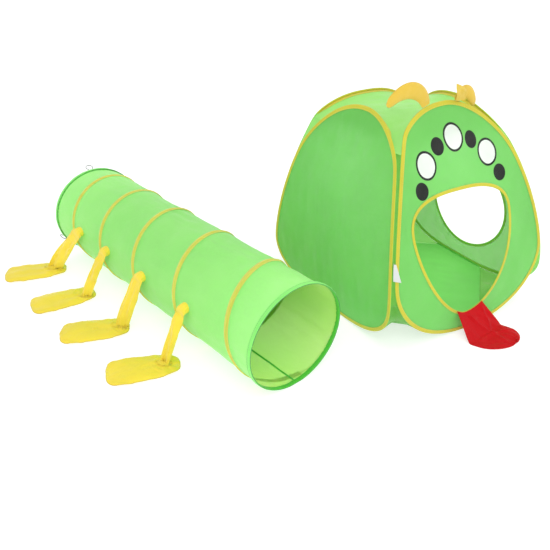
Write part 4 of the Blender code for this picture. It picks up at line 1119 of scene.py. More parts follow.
def antenna(name):
    """A padded crescent that stands on the front hoop's crown, arches outward and droops at its tip."""
    u, width, rise, reach, tip, lean = ANTENNAE[name]
    wall = WALLS["front"]
    hand = math.copysign(1.0, u)
    share = abs(u) / wall.neighbours[int(u > 0.0)].distance(wall.widest)
    angle = hand * math.asin(share ** (wall.upper[int(u > 0.0)] / 2.0))
    root, ahead, behind = wall.hoop(np.array((angle, angle + 0.02, angle - 0.02)))
    tangent = unit(ahead - behind)
    away = np.array((-tangent[1], tangent[0]))
    foot = root + away * (1.5 * HOOP_REACH + GAP + 0.25 * abs(lean))
    arch = (foot, foot + away * rise + (hand * lean, 0.0),
            foot + (hand * reach * 0.66, rise * 1.07), foot + (hand * reach, tip))
    tip_steps = np.sin(np.linspace(0.05, 0.5, 9) * math.pi)
    t = np.concatenate((np.linspace(0.0, 0.92, 46), 0.92 + 0.08 * tip_steps))
    spot = bezier(arch, t)
    heading = unit(bezier(arch, t + 0.005) - bezier(arch, t - 0.005))
    swell = 0.5 * width * (0.42 + 0.58 * np.sin(math.pi * (0.12 + 0.82 * t)))
    swell *= np.sqrt(np.clip(1.0 - (np.maximum(t - 0.90, 0.0) / 0.103) ** 2, 0.02, 1.0))
    over = quarter_turn(heading) * swell[:, None]
    middle = wall.point(np.stack((spot[:, 0], np.full(len(t), root[1])), -1)) + UP * (spot[:, 1:] - root[1])
    wide = wall.along * over[:, :1] + UP * over[:, 1:]
    angles = ring_angles(32)
    across = np.cos(angles)
    thick = rounded(np.sin(angles), 0.9)
    depth = 0.5 * ANTENNA_THICKNESS * np.minimum(1.0, 0.55 + 3.0 * t)
    depth = depth * np.minimum(1.0, swell / swell.max() * 1.3)
    length = path_lengths(middle)[:, None]
    pleats = np.exp(-length / 0.030) + 0.35
    relief = 0.0011 * ripple(length, across[None] * swell[:, None], int(100 + abs(u) * 1000), 0.02, 0.07)
    body = middle[:, None] + wide[:, None] * across[None, :, None]
    body = body + wall.out * ((depth[:, None] + relief * pleats) * thick[None])[..., None]
    cloth = together(length, across[None] * swell[:, None], swell[:, None] * (1.0 - np.abs(across[None])))
    made = tube(name + "_pad", body, in_tent, cloth)
    on_side(made, "front", ANTENNA_CLOTH, "yellow_cloth", name, body=name)
    if name == "right_antenna":
        antenna_fold(name, middle[0], seed=int(100 + abs(u) * 1000))
    for edge, edge_hand in (("upper", 1.0), ("lower", -1.0)):
        ridge = middle + wide * edge_hand * 1.02
        piping = wire(f"{name}_seam_{edge}", ridge[1:-3], ANTENNA_PIPING, in_tent, sides=6)
        on_side(piping, "front", ANTENNA_CLOTH, "yellow_cloth", body=name)


def antenna_fold(name, root, seed):
    """The strap's spare end, turned up and creased to a point in front of the right antenna's root."""
    wall = WALLS["front"]
    corners = {key: root + wall.along * along + UP * up + wall.out * out
               for key, (along, up, out) in ANTENNA_FOLD.items()}
    down = np.linspace(0.0, 1.0, 18)[:, None, None]
    over = np.linspace(0.0, 1.0, 12)[None, :, None]
    low = corners["low_left"] * (1.0 - over) + corners["low_right"] * over
    high = corners["high_left"] * (1.0 - over) + corners["high_right"] * over
    grid = low * (1.0 - down) + high * down
    bend = 0.004 * np.sin(math.pi * down) * (1.0 - 1.6 * over)
    bend = bend + 0.0012 * ripple(0.05 * over, 0.07 * down, seed, 0.02, 0.05)
    grid = grid + wall.out * bend
    cloth = together(0.04 * over[..., 0], 0.07 * down[..., 0], 0.02 * np.minimum(over, 1.0 - over)[..., 0])
    made = grid_cloth(name + "_fold", grid, 1.5 * CLOTH, in_tent, cloth)
    on_side(made, "front", ANTENNA_CLOTH, "yellow_cloth", body=name)


def care_label():
    """A folded blank tag sewn into the near corner seam, hanging beside the front wall."""
    outward = unit(np.array((-1.0, -1.0, 0.0)))
    across = np.array((0.80, -0.60, 0.0)) * LABEL_WIDTH
    height = np.linspace(0.0, 1.0, 16)
    front_edge, side_edge = corner_edges("front_left", LABEL_TOP - height * LABEL_LENGTH)
    root = 0.5 * (front_edge + side_edge) + outward * (2.0 * GAP + CLOTH)
    elbow = root + outward * LABEL_STEM
    far = elbow + across + outward * 0.1 * height[:, None] * LABEL_LENGTH
    far = elbow + (far - elbow) * (0.30 + 0.70 * height[:, None])
    shares = np.linspace(0.0, 1.0, 9)
    stem = [root + (elbow - root) * share for share in shares[:-1]]
    leaf = [elbow + (far - elbow) * share for share in shares]
    grid = np.stack(stem + leaf, 1)
    grid[:, 2:-1] = 0.25 * grid[:, 1:-2] + 0.5 * grid[:, 2:-1] + 0.25 * grid[:, 3:]
    from_root = np.linspace(0.0, 1.0, grid.shape[1])[None, :, None]
    curl = 0.0022 * from_root ** 2 * np.sin(3.0 * height)[:, None, None]
    grid = grid + grid_normals(grid) * curl
    cloth = together(np.linspace(0.0, LABEL_FLAT_WIDTH, grid.shape[1]), height[:, None] * LABEL_LENGTH, 0.01)
    made = grid_cloth("care_label_cloth", grid, LABEL_CLOTH, in_tent, cloth)
    on_side(made, "left", LABEL_SHADED_WHITE, "white_label", "care_label")


# Tunnel: angle 0 faces away from the tent, a quarter turn is the top

COIL_WIRE_MIDDLE = SKIN_RADIUS + GAP + COIL_WIRE_RADIUS
CROWN_INSIDE = COIL_WIRE_MIDDLE + COIL_WIRE_RADIUS + 2.0 * GAP
CROWN_RADIUS = CROWN_INSIDE + CLOTH
HALF_FACET = math.pi / TUNNEL_SIDES
MIDDLE_HEIGHT = CROWN_RADIUS * math.cos(HALF_FACET)
NEAR_END = -0.5 * TUNNEL_LENGTH
FAR_END = 0.5 * TUNNEL_LENGTH
TOP_ANGLE = 0.5 * math.pi


def around(angle, radius, y):
    """Points about the tunnel's middle line, flat where it lies on the ground."""
    angle, radius, y = np.broadcast_arrays(angle, radius, y)
    down = np.maximum(-np.sin(angle), 0.1)
    reach = np.minimum(radius, radius * math.cos(HALF_FACET) / down)
    return np.stack((-TUNNEL_OVAL * reach * np.cos(angle), y, MIDDLE_HEIGHT + reach * np.sin(angle)), -1)


def radial(angle):
    angle = np.asarray(angle, float)
    return unit(np.stack((-np.cos(angle), 0.0 * angle, TUNNEL_OVAL * np.sin(angle)), -1))


def coil_place(turns):
    """Distance of the coil from the near end after a number of turns past its first crown."""
    return COIL_FIRST_BAND + COIL_PITCH * turns - COIL_CLOSING * turns * turns


def coil_turns(margin, steps_a_turn):
    turns = np.arange(-steps_a_turn, 8 * steps_a_turn) / steps_a_turn
    place = coil_place(turns)
    return turns[(place >= margin) & (place <= TUNNEL_LENGTH - margin) & (np.gradient(place) > 0.0)]


def squash_length(piece):
    """Gives a piece of the tunnel a mesh of its own."""
    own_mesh(piece)


def on_tunnel(piece, material, slot_name, *nodes):
    dress(piece, "tunnel_near", material, slot_name, *nodes)
    squash_length(piece)


def tunnel_skin():
    """A tube of cloth that hangs a little between the turns of its coil, with lengthwise creases."""
    inset = 0.0030
    angle = TOP_ANGLE + ring_angles(SKIN_COLUMNS)
    s = np.linspace(inset, TUNNEL_LENGTH - inset, SKIN_ROWS)
    after = np.zeros((SKIN_ROWS, SKIN_COLUMNS))
    before = np.full((SKIN_ROWS, SKIN_COLUMNS), TUNNEL_LENGTH)
    for column in range(SKIN_COLUMNS):
        bands = coil_place(np.arange(-2, 8) + (angle[column] - TOP_ANGLE) / TURN)
        supports = np.array([0.0] + [b for b in bands if 0.03 < b < TUNNEL_LENGTH - 0.03] + [TUNNEL_LENGTH])
        at = np.clip(np.searchsorted(supports, s, side="right") - 1, 0, len(supports) - 2)
        after[:, column] = supports[at]
        before[:, column] = supports[at + 1]
    place = s[:, None]
    span = before - after
    share = (place - after) / span
    belly = 4.0 * share * (1.0 - share)
    near_tape = np.minimum(place - after, before - place) - 0.5 * COIL_TAPE_WIDTH
    free = smooth(near_tape / 0.02)
    arc = np.broadcast_to((SKIN_RADIUS * angle)[None, :], near_tape.shape)
    height = np.sin(angle)[None, :]
    loose = smooth((height + 0.93) / 0.25)
    relief = -belly * (0.0014 + 0.0034 * np.maximum(height, 0.0)) * np.minimum(span / 0.34, 1.0)
    relief -= 0.0022 * free * (0.5 + 0.5 * ripple(arc, 0.22 * place, 11, 0.045, 0.13))
    relief += 0.0016 * free * ripple(arc, place, 12, 0.12, 0.40)
    relief -= 0.0009 * free * (0.5 + 0.5 * ripple(arc, 0.5 * place, 13, 0.018, 0.045))
    phase = TURN * arc / 0.021 + 2.2 * ripple(arc, place, 14, 0.10, 0.30)
    pucker = np.exp(-np.maximum(near_tape, 0.0) / 0.018)
    relief -= 0.0008 * (1.0 + np.sin(phase)) * pucker * smooth(near_tape / 0.005)
    relief *= loose
    rise = MIDDLE_HEIGHT + SKIN_RADIUS * height - LEG_HEIGHT
    for station in leg_stations():
        from_root = np.hypot((place - station) / (0.5 * ROOT_WIDTH), rise / (0.5 * ROOT_TALL))
        relief *= 1.0 - smooth((2.4 - from_root) / 1.2)
    grid = around(angle[None, :], SKIN_RADIUS - 0.5 * CLOTH + relief, NEAR_END + place)
    cloth = together(arc, place, np.maximum(near_tape, 0.0))
    made = grid_cloth("tunnel_skin_cloth", grid, CLOTH, in_tunnel, cloth, wrap=True, lined_front=True)
    on_tunnel(made, TUNNEL_CLOTH, "green_cloth", "tunnel_skin")


def tunnel_coil():
    turns = coil_turns(3.0 * COIL_WIRE_RADIUS + 0.008, 96)
    path = around(TOP_ANGLE + TURN * turns, COIL_WIRE_MIDDLE, NEAR_END + coil_place(turns))
    on_tunnel(wire("coil_spring", path, COIL_WIRE_RADIUS, in_tunnel), STEEL, "spring_steel", "coil_wire")
    half = 0.5 * COIL_TAPE_WIDTH
    turns = coil_turns(END_HEM_WIDTH + half + 0.001, 144)
    angle = (TOP_ANGLE + TURN * turns)[:, None]
    step = np.linspace(-1.0, 1.0, 19)
    across = half * np.sin(step ** 3 * 0.25 * math.pi + step * 0.25 * math.pi)[None]
    flange = SKIN_RADIUS + GAP + 0.5 * CLOTH
    rise = (CROWN_INSIDE + 0.5 * CLOTH - flange) * crease(across, 0.0027)
    place = coil_place(turns)[:, None]
    arc = TURN * SKIN_RADIUS * turns[:, None]
    lift = 0.00035 * (1.0 + ripple(arc, across, 21, 0.02, 0.06)) * smooth(1.0 - np.abs(across) / half)
    grid = around(angle, flange + rise + lift, NEAR_END + place + across)
    cloth = together(arc, across, half - np.abs(across))
    made = grid_cloth("coil_band", grid, CLOTH, in_tunnel, cloth)
    on_tunnel(made, BAND, "yellow_tape", "coil_tape")
    rows = []
    for hand in (-1.0, 1.0):
        row = NEAR_END + place[:, 0] + hand * (half - SEAM_STITCH)
        path = around(angle[:, 0], flange + 0.5 * CLOTH + 0.0003, row)
        rows.append(stitch_row(path, radial(angle[:, 0])))
    on_tunnel(stitches("coil_band_stitches", rows, in_tunnel), THREAD_YELLOW, "yellow_tape")


def end_hem(name, hand, body):
    """Cloth folded round an end ring and the skin's edge, with a thin dark bead along its rim, partly its
    edge and partly painted shadow in the crease.
    """
    angle = TOP_ANGLE + ring_angles(168)
    outer = CROWN_RADIUS - 0.5 * CLOTH
    inner = SKIN_RADIUS - CLOTH - GAP - 0.5 * CLOTH
    crown = 0.5 * (outer - inner)
    end = FAR_END - 0.5 * CLOTH
    back = np.linspace(END_HEM_WIDTH, crown, 6)
    turn = np.linspace(0.0, math.pi, 11)[1:-1]
    past = np.concatenate((-back, -crown + crown * np.sin(turn), -back[::-1]))
    reach = np.concatenate((np.full(6, outer), inner + crown + crown * np.cos(turn), np.full(6, inner)))
    path = np.stack((past, reach), -1)
    section = thickened(path)
    arc = (SKIN_RADIUS * angle)[:, None]
    depth = section[None, :, 0]
    full = 0.00045 * ripple(arc, depth, 31 + int(hand), 0.02, 0.06) * smooth((depth + END_HEM_WIDTH) / 0.01)
    full *= smooth((np.sin(angle)[:, None] + 0.96) / 0.1)
    outward = np.where(section[None, :, 1] > inner + crown, 1.0, -1.0)
    radius = section[None, :, 1] + full * outward
    rings = around(angle[:, None], radius, hand * (end + depth))
    edge = depth + END_HEM_WIDTH
    # The inner leg is marked for the hem's darker lining colour, painted shade inside the rim.
    cloth = together(arc, depth, np.where(outward > 0.0, edge, -edge - LINING_MARK))
    made = tube(name + "_cloth", rings, in_tunnel, cloth, closed=True)
    dress(made, body, HEM_CLOTH, "green_hem", name)
    # The dark bead along the rim is partly the hem's edge and partly painted shadow in its crease.
    bead = around(angle, inner + crown, hand * (FAR_END + 0.0006))
    dress(wire(name + "_bead", bead, HEM_BEAD_RADIUS, in_tunnel, closed=True), body, HEM_EDGE_SHADOW, "green_hem")
    rows = []
    y = hand * (end - END_HEM_WIDTH + 0.0035)
    for radius, out in ((outer + 0.5 * CLOTH + 0.0002, 1.0), (inner - 0.5 * CLOTH - 0.0002, -1.0)):
        rows.append(stitch_row(around(angle, radius, y), out * radial(angle), closed=True))
    dress(stitches(name + "_stitches", rows, in_tunnel), body, THREAD_GREEN, "green_hem")


def tunnel_seam():
    inside = (SKIN_RADIUS - CLOTH) * math.cos(HALF_FACET) - GAP - 0.5 * CLOTH
    z = MIDDLE_HEIGHT - inside
    y = np.linspace(-FAR_END + END_HEM_WIDTH + CLOTH, FAR_END - END_HEM_WIDTH - CLOTH, 150)[:, None]
    x = np.linspace(-SEAM_HALF_WIDTH, SEAM_HALF_WIDTH, 7)[None, :]
    rise = 0.0006 * (1.0 + ripple(y, 3.0 * x, 41, 0.03, 0.09)) * smooth(np.abs(x) / SEAM_HALF_WIDTH)
    grid = together(x + 0.0006 * ripple(y, 0.0, 42, 0.1, 0.3), y, z + rise)
    cloth = together(y, x, SEAM_HALF_WIDTH - np.abs(x))
    made = grid_cloth("seam_allowance", grid, CLOTH, in_tunnel, cloth)
    on_tunnel(made, HEM_CLOTH, "green_hem", "lengthwise_seam")
    rows = []
    for offset in (-SEAM_STITCH, SEAM_STITCH):
        path = together(offset, y[:, 0], z + 0.0014)
        rows.append(stitch_row(path, np.broadcast_to(UP, path.shape)))
    on_tunnel(stitches("seam_stitches", rows, in_tunnel), THREAD_GREEN, "green_hem")


def tie_loop(name, angle):
    """A short cord loop sewn to the far hem."""
    middle = np.array((-TUNNEL_OVAL * CROWN_RADIUS * math.cos(HALF_FACET) * math.cos(angle), FAR_END,
                       MIDDLE_HEIGHT + CROWN_RADIUS * math.cos(HALF_FACET) * math.sin(angle)))
    side = unit(np.array((TUNNEL_OVAL * math.sin(angle), 0.0, math.cos(angle))))
    away = unit(np.cross(side, (0.0, 1.0, 0.0)))
    away = away * np.sign(np.dot(away, middle - (0.0, FAR_END, MIDDLE_HEIGHT)))
    start = middle + (0.0, TIE_RADIUS + GAP, 0.0) - away * 2.0 * TIE_RADIUS
    points = [start + side * sideways * TIE_SPREAD + away * outward * TIE_REACH
              + np.array((0.0, past * TIE_REACH, 0.0)) for sideways, outward, past in TIE_ROUTE]
    path = smooth_path(points, 34)
    made = wire(name + "_cord", path, TIE_RADIUS, in_tunnel, sides=10)
    dress(made, "tunnel_far", CORD_GREEN, "green_hem", name)


# Legs and feet

def band_at_side(band):
    return coil_place(band - 0.25)


def leg_stations():
    """Distance of each pair of legs from the near end."""
    return [band_at_side(band) - beside for band, beside in zip(LEG_BANDS, LEG_BESIDE_BAND)]


def side_reach():
    rise = LEG_HEIGHT - MIDDLE_HEIGHT
    return TUNNEL_OVAL * math.sqrt(SKIN_RADIUS ** 2 - rise ** 2)


class Leg:
    """One leg of a pair, outer or inner, with its foot: its place on the tunnel and its sizes."""

    def __init__(self, side, pair):
        index = pair - 1
        self.side = side
        self.pair = pair
        self.hand = -1.0 if side == "outer" else 1.0
        self.y = NEAR_END + leg_stations()[index]
        self.slant = LEG_SLANTS[index]
        self.width = LEG_WIDTHS[index]
        self.top_width = LEG_TOP_WIDTHS[index]
        self.top = self.hand * (side_reach() + ROOT_DEPTH + 2.0 * GAP)
        self.ankle = np.array((self.top + self.hand * LEG_SPREAD, self.y + self.slant, FOOT_THICKNESS))
        self.foot_turn = math.radians(FOOT_TURNS[side][index])
        self.foot_aside = FOOT_ASIDES[index]
        self.from_heel = ANKLES_FROM_HEEL[index]
        self.seed = 200 + 20 * pair + (7 if side == "inner" else 0)

    def name_of(self, piece):
        return f"{self.side}_{piece}_{self.pair}"

    def dress(self, piece, body, material, *nodes):
        """Dress a piece of the leg, with a mesh of its own."""
        dress(piece, body, material, "yellow_cloth", *nodes)
        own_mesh(piece)


def leg_root(leg):
    """The gathered top of a leg, pleated and stitched to the skin, widening into the leg."""
    share = np.concatenate(((0.0, 0.0), np.linspace(0.0, 1.0, 22)))[:, None]
    closing = np.concatenate(((0.1, 0.5), np.ones(22)))[:, None]
    angles = ring_angles(66)[None, :]
    width = 0.5 * (ROOT_WIDTH + leg.top_width) + 0.5 * (leg.top_width - ROOT_WIDTH) * smooth(share)
    tall = 1.10 * ROOT_TALL + (1.35 * LEG_THICKNESS - 1.10 * ROOT_TALL) * share ** 1.5
    pleat = np.abs(np.sin(5.5 * angles + 0.5 * ripple(angles, share, leg.seed, 2.0, 5.0))) ** 0.7
    swell = closing * (0.92 + 0.10 * pleat - 0.10 * crease(share - 0.80, 0.14))
    z = LEG_HEIGHT - 0.016 * share ** 2 + 0.5 * tall * swell * np.sin(angles)
    on_skin = TUNNEL_OVAL * np.sqrt(SKIN_RADIUS ** 2 - (z - MIDDLE_HEIGHT) ** 2) - 0.5 * CLOTH
    x = on_skin + (side_reach() + ROOT_DEPTH + 0.007 - on_skin) * np.sin(0.5 * math.pi * share)
    rings = together(leg.hand * x, leg.y + 0.5 * width * swell * np.cos(angles), z)
    cloth = together(0.022 * angles, 0.03 * share, 0.012 * pleat)
    name = leg.name_of("leg_root")
    leg.dress(tube(name + "_gather", rings, in_tunnel, cloth), f"leg_station_{leg.pair}", LEG_CLOTH, name)


def leg_tube(leg):
    """A loose flat cloth tube, gathered at both ends, with folds down its length."""
    hand = leg.hand
    start = np.array((leg.top, leg.y, LEG_HEIGHT - 0.006))
    end = leg.ankle - (0.0, 0.0, 0.006)
    bend = (start, start + (hand * 0.010, 0.24 * leg.slant, -0.040),
            end + (-hand * 0.022, -0.33 * leg.slant, 0.096), end)
    t = np.linspace(-0.03, 1.0, 64)
    widths = (leg.top_width / leg.width, 1.02, 1.0, 1.0, 1.0, 0.92, 0.85)
    swell = np.interp(t, np.linspace(0.0, 1.0, 7), widths)
    swell = np.convolve(np.pad(swell, 4, mode="edge"), np.ones(9) / 9.0, mode="valid")
    tilt = 0.5 * math.pi * np.clip(t * 1.6, 0.0, 1.0)[:, None]
    twist = LEG_TWIST * np.maximum(t - 0.3, 0.0)[:, None] / 0.7
    level = np.concatenate((hand * np.cos(twist), -np.sin(twist), 0.0 * twist), 1)
    thick = level * np.sin(tilt) + UP * np.cos(tilt)
    wide = np.concatenate((hand * np.sin(twist), np.cos(twist), 0.0 * twist), 1)
    path = bezier(bend, t)
    angles = ring_angles(60)[None, :]
    across = rounded(np.cos(angles), 0.85)
    through = rounded(np.sin(angles), 0.75)
    half = 0.5 * leg.width * swell[:, None]
    length = (0.27 * t)[:, None]
    girth = across * half
    gathered = np.exp(-np.maximum(t, 0.0) / 0.16)[:, None] + 0.8 * np.exp(-(1.0 - t) / 0.10)[:, None]
    wander = 1.5 * ripple(girth, length, leg.seed + 1, 0.05, 0.2)
    folds = 0.0028 * np.sin(TURN * girth / 0.0125 + wander) * gathered
    folds += 0.0046 * ripple(girth, 0.30 * length, leg.seed + 2, 0.030, 0.070)
    folds += 0.0016 * ripple(girth, length, leg.seed + 3, 0.025, 0.080)
    body_half = 0.5 * LEG_THICKNESS * (0.62 + 0.28 * np.exp(-np.maximum(t, 0.0) / 0.12))[:, None]
    depth = body_half * through + folds * np.minimum(1.0, 1.4 * np.abs(through)) + 0.3 * folds
    rings = path[:, None] + wide[:, None] * girth[..., None] + thick[:, None] * depth[..., None]
    cloth = together(girth, length, 0.5 * half * (1.0 - np.abs(across)))
    name = leg.name_of("leg")
    leg.dress(tube(name + "_tube", rings, in_tunnel, cloth), name, LEG_CLOTH, name)


def foot_outline(angles):
    """The sole's outline about its middle: forward and sideways."""
    forward = rounded(np.cos(angles), 2.0 / FOOT_ROUNDNESS)
    sideways = rounded(np.sin(angles), 2.0 / FOOT_ROUNDNESS)
    width = 0.5 * (FOOT_HEEL_WIDTH + (FOOT_TOE_WIDTH - FOOT_HEEL_WIDTH) * 0.5 * (1.0 + forward))
    return np.stack((forward * 0.5 * FOOT_LENGTH, sideways * width), -1)


def vertex_normals(points, faces):
    normals = np.zeros_like(points)
    for size in (3, 4):
        some = np.array([face for face in faces if len(face) == size])
        if len(some):
            corners = points[some]
            flat = np.cross(corners[:, 2] - corners[:, 0], corners[:, -1] - corners[:, 1])
            for i in range(size):
                np.add.at(normals, some[:, i], flat)
    return unit(normals)


def puffed(name, points, faces):
    """A slack pad swollen by the cloth solver and smoothed; its first points stay the given ones."""
    mesh = bpy.data.meshes.new(name)
    mesh.from_pydata(points.tolist(), [], faces)
    pad = add_object(name, mesh)
    cloth = pad.modifiers.new("cloth", "CLOTH")
    for setting, value in CLOTH_SETTINGS.items():
        setattr(cloth.settings, setting, value)
    cloth.settings.effector_weights.gravity = 0.0
    cloth.point_cache.frame_start = 1
    cloth.point_cache.frame_end = CLOTH_FRAMES
    for step in range(1, CLOTH_FRAMES + 1):
        bpy.context.scene.frame_set(step)
    depsgraph = bpy.context.evaluated_depsgraph_get()
    swollen = pad.evaluated_get(depsgraph).to_mesh()
    moved = np.array([vertex.co for vertex in swollen.vertices]) - points
    pad.evaluated_get(depsgraph).to_mesh_clear()
    pad.modifiers.clear()
    bpy.context.scene.frame_set(1)
    far = np.linalg.norm(moved, axis=1, keepdims=True)
    moved = moved * np.minimum(1.0, FOOT_SWELL_LIMIT / np.maximum(far, 1e-9))
    mesh.vertices.foreach_set("co", (points + moved).astype(np.float32).ravel())
    finer = pad.modifiers.new("finer", "SUBSURF")
    finer.levels = 1
    depsgraph = bpy.context.evaluated_depsgraph_get()
    final = bpy.data.meshes.new_from_object(pad.evaluated_get(depsgraph))
    points = np.array([vertex.co for vertex in final.vertices])
    faces = [list(face.vertices) for face in final.polygons]
    bpy.data.objects.remove(pad)
    for data in (mesh, final):
        bpy.data.meshes.remove(data)
    return points, faces


def foot_pad():
    """The padded sole that all feet share: forward from its middle, sideways and up, and its rim's points."""
    outline = even_outline(foot_outline, FOOT_COLUMNS)[0]
    rings = []
    for size in FOOT_SIZES:
        low = FOOT_RIM_HEIGHT - 0.0028 * (1.0 - size ** 6)
        rings.append(np.concatenate((outline * size, np.full((FOOT_COLUMNS, 1), low)), 1))
    rings.append(np.concatenate((outline, np.full((FOOT_COLUMNS, 1), FOOT_RIM_HEIGHT)), 1))
    for size in FOOT_SIZES[::-1]:
        high = FOOT_RIM_HEIGHT + 0.0095 * math.sqrt(1.0 - size ** 4)
        rings.append(np.concatenate((outline * size, np.full((FOOT_COLUMNS, 1), high)), 1))
    rings = np.array(rings)
    last = (len(rings) - 1) * FOOT_COLUMNS
    faces = quads(len(rings), FOOT_COLUMNS, True)
    faces += [list(range(FOOT_COLUMNS))[::-1], list(range(last, last + FOOT_COLUMNS))]
    points, faces = puffed("foot_blank", rings.reshape(-1, 3), faces)
    rim = np.arange(FOOT_COLUMNS) + len(FOOT_SIZES) * FOOT_COLUMNS
    reach = 0.5 * FOOT_LENGTH / np.abs(points[:, 0]).max()
    points[:, :2] *= reach
    rise = (FOOT_THICKNESS + 0.002 - FOOT_RIM_HEIGHT) / (points[:, 2].max() - FOOT_RIM_HEIGHT)
    above = points[:, 2] > FOOT_RIM_HEIGHT
    points[above, 2] = FOOT_RIM_HEIGHT + (points[above, 2] - FOOT_RIM_HEIGHT) * rise
    points[:, 2] = np.clip(points[:, 2], 0.0, None)
    return points, faces, rim


def foot(leg, pad):
    """A flat padded sole on the ground, wider at the toe, with a sewn rim and soft creases."""
    points, faces, rim_points = pad
    name = leg.name_of("foot")
    seed = leg.seed + 4
    heading = np.array((leg.hand * math.cos(leg.foot_turn), math.sin(leg.foot_turn), 0.0))
    across = np.array((-heading[1], heading[0], 0.0))
    heel = np.array((leg.ankle[0], leg.ankle[1] + leg.foot_aside, 0.0)) - heading * leg.from_heel
    middle = heel + heading * 0.5 * FOOT_LENGTH
    forward, sideways, height = points.T
    normals = vertex_normals(points, faces)
    up = smooth((height - 0.004) / 0.006)
    ahead = forward + 0.5 * FOOT_LENGTH - leg.from_heel
    from_ankle = np.hypot(ahead, sideways)
    spoke = np.arctan2(sideways, ahead)
    pull = crease(from_ankle - 0.055, 0.045)
    relief = 0.0020 * ripple(0.45 * forward, sideways, seed, 0.05, 0.14)
    relief += 0.0016 * np.sin(7.0 * spoke + seed) * pull
    relief += 0.0006 * ripple(forward, sideways, seed + 1, 0.03, 0.08)
    relief -= 0.0030 * crease(from_ankle - 0.050, 0.006) * smooth(ahead / 0.03)
    placed = points + normals * (relief * up)[:, None]
    placed[:, 2] = np.maximum(placed[:, 2], 0.0)
    world = middle + heading * placed[:, :1] + across * placed[:, 1:2] + UP * placed[:, 2:]
    outward = np.hypot(forward / (0.5 * FOOT_LENGTH), sideways / (0.5 * FOOT_TOE_WIDTH))
    rim = np.maximum(0.0, 1.0 - outward) * 0.1
    cloth = together(forward, sideways, rim)
    made = make(name + "_pad", world, faces, in_tunnel, cloth, sharp=70.0, mend=True)
    leg.dress(made, name, LEG_CLOTH, name)
    line = world[rim_points]
    line = line + 0.0006 * unit((line - middle) * (1.0, 1.0, 0.0))
    line[:, 2] = np.maximum(line[:, 2], 0.0016)
    piping = wire(name + "_seam", line, FOOT_PIPING, in_tunnel, closed=True, sides=6)
    leg.dress(piping, name, LEG_SEAM)
    ankle_flap(leg, name, world)


def ankle_flap(leg, name, foot_points):
    """The leg's end, spread over the foot and sewn down round the ankle."""
    angles = ring_angles(72)[None, :]
    share = np.array((0.20, 0.45, 0.65, 0.80, 0.92, 1.0))[:, None]
    wide = np.array((leg.hand * math.sin(LEG_TWIST), math.cos(LEG_TWIST), 0.0))
    thick = np.array((wide[1], -wide[0], 0.0))
    ragged = 1.0 + 0.06 * ripple(0.05 * angles, share, leg.seed + 9, 0.02, 0.08) * share
    over = (0.45 * leg.width + 0.012) * share * ragged * np.cos(angles)
    along = 0.024 * share * ragged * np.sin(angles)
    grid = leg.ankle + wide * over[..., None] + thick * along[..., None]
    top = foot_points[foot_points[:, 2] > 0.004]
    flat = grid[..., :2].reshape(-1, 1, 2)
    nearest = np.argmin(((flat - top[None, :, :2]) ** 2).sum(-1), 1)
    astray = ((flat[:, 0] - top[nearest, :2]) ** 2).sum(-1) > 0.004 ** 2
    flat[astray, 0] = top[nearest[astray], :2]
    grid[..., :2] = flat.reshape(grid.shape[:2] + (2,))
    grid[..., 2] = top[nearest, 2].reshape(grid.shape[:2])
    pleat = np.sin(9.0 * angles + 2.0 * ripple(0.05 * angles, share, leg.seed + 10, 0.03, 0.09))
    grid[..., 2] += 0.0022 + 0.0060 * (1.0 - share) ** 2 + 0.0014 * (1.0 + pleat) * (1.2 - share)
    cloth = together(over, along, 0.02 * (1.0 - share))
    leg.dress(grid_cloth(name + "_flap", grid, CLOTH, in_tunnel, cloth, wrap=True), name, LEG_CLOTH)


def legs_and_feet():
    pad = foot_pad()
    for pair in range(1, len(LEG_BANDS) + 1):
        for side in FOOT_TURNS:
            leg = Leg(side, pair)
            leg_root(leg)
            leg_tube(leg)
            foot(leg, pad)


# Making it: the camera and the cords come first

def add_camera():
    data = bpy.data.cameras.new("camera")
    data.sensor_width = SENSOR_WIDTH
    data.lens = FOCAL_PIXELS / PICTURE_PIXELS * SENSOR_WIDTH
    camera = add_object("camera", data)
    camera.location = CAMERA_PLACE
    camera.rotation_euler = (0.5 * math.pi - CAMERA_DOWN, 0.0, CAMERA_HEADING)
    bpy.context.scene.camera = camera


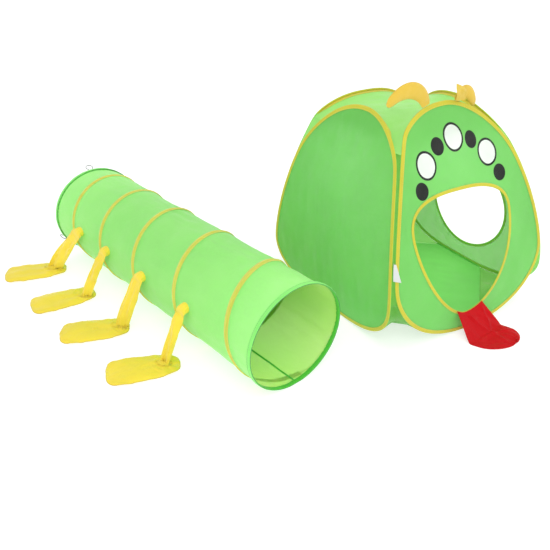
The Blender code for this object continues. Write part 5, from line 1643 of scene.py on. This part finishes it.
def add_area_light(name, place, aim, size, power):
    data = bpy.data.lights.new(name, "AREA")
    data.shape = "DISK"
    data.size = size
    data.energy = power
    light = add_object(name, data)
    light.location = place
    away = np.array(place) - np.array(aim)
    flat = math.hypot(away[0], away[1])
    light.rotation_euler = (math.atan2(flat, away[2]), 0.0, math.atan2(away[0], -away[1]))
    light.visible_camera = False


def add_studio():
    bpy.context.scene.view_settings.view_transform = "Standard"
    world = bpy.data.worlds.new("studio")
    bpy.context.scene.world = world
    world.use_nodes = True
    background = world.node_tree.nodes["Background"]
    background.inputs["Color"].default_value = (1.0, 1.0, 1.0, 1.0)
    background.inputs["Strength"].default_value = WORLD_STRENGTH
    for name, light in LIGHTS.items():
        add_area_light(name, *light)
    mesh = bpy.data.meshes.new("floor")
    corners = ((-1.0, -1.0), (1.0, -1.0), (1.0, 1.0), (-1.0, 1.0))
    points = [(x * FLOOR_REACH, y * FLOOR_REACH, FLOOR_DEPTH) for x, y in corners]
    mesh.from_pydata(points, [], [(0, 1, 2, 3)])
    shader = Shader("studio_floor", Roughness=0.85, Specular_IOR_Level=0.1,
                    Emission_Color=(1.0, 1.0, 1.0, 1.0), Emission_Strength=FLOOR_LIGHT)
    shader.feed(Base_Color=shader.mix(shader.noise(2.0), (0.49, 0.49, 0.49), (0.51, 0.51, 0.51)))
    mesh.materials.append(shader.material)
    add_object("studio_floor", mesh)


add_camera()
tie_loop("top_tie_loop", TOP_ANGLE)
tie_loop("side_tie_loop", -4.0 * HALF_FACET)

tent_side("left", None, 1)
tent_side("front", mouth_outline, 2)
tent_side("right", port_outline, 3)
tent_side("back", None, 4)
opening_binding("mouth", "front", mouth_outline, 51)
opening_binding("port", "right", port_outline, 52)
for number, corner_name in enumerate(CORNERS):
    corner_gusset(corner_name, 30 + number)
tent_floor()
tent_roof()
tongue()
for antenna_name in ANTENNAE:
    antenna(antenna_name)
care_label()

tunnel_skin()
tunnel_coil()
end_hem("near_hem", -1.0, "tunnel_near")
end_hem("far_hem", 1.0, "tunnel_far")
tunnel_seam()
legs_and_feet()
for ring in ("near_ring", "far_ring"):
    for slot_of_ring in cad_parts[ring].material_slots:
        slot_of_ring.material = STEEL

add_studio()
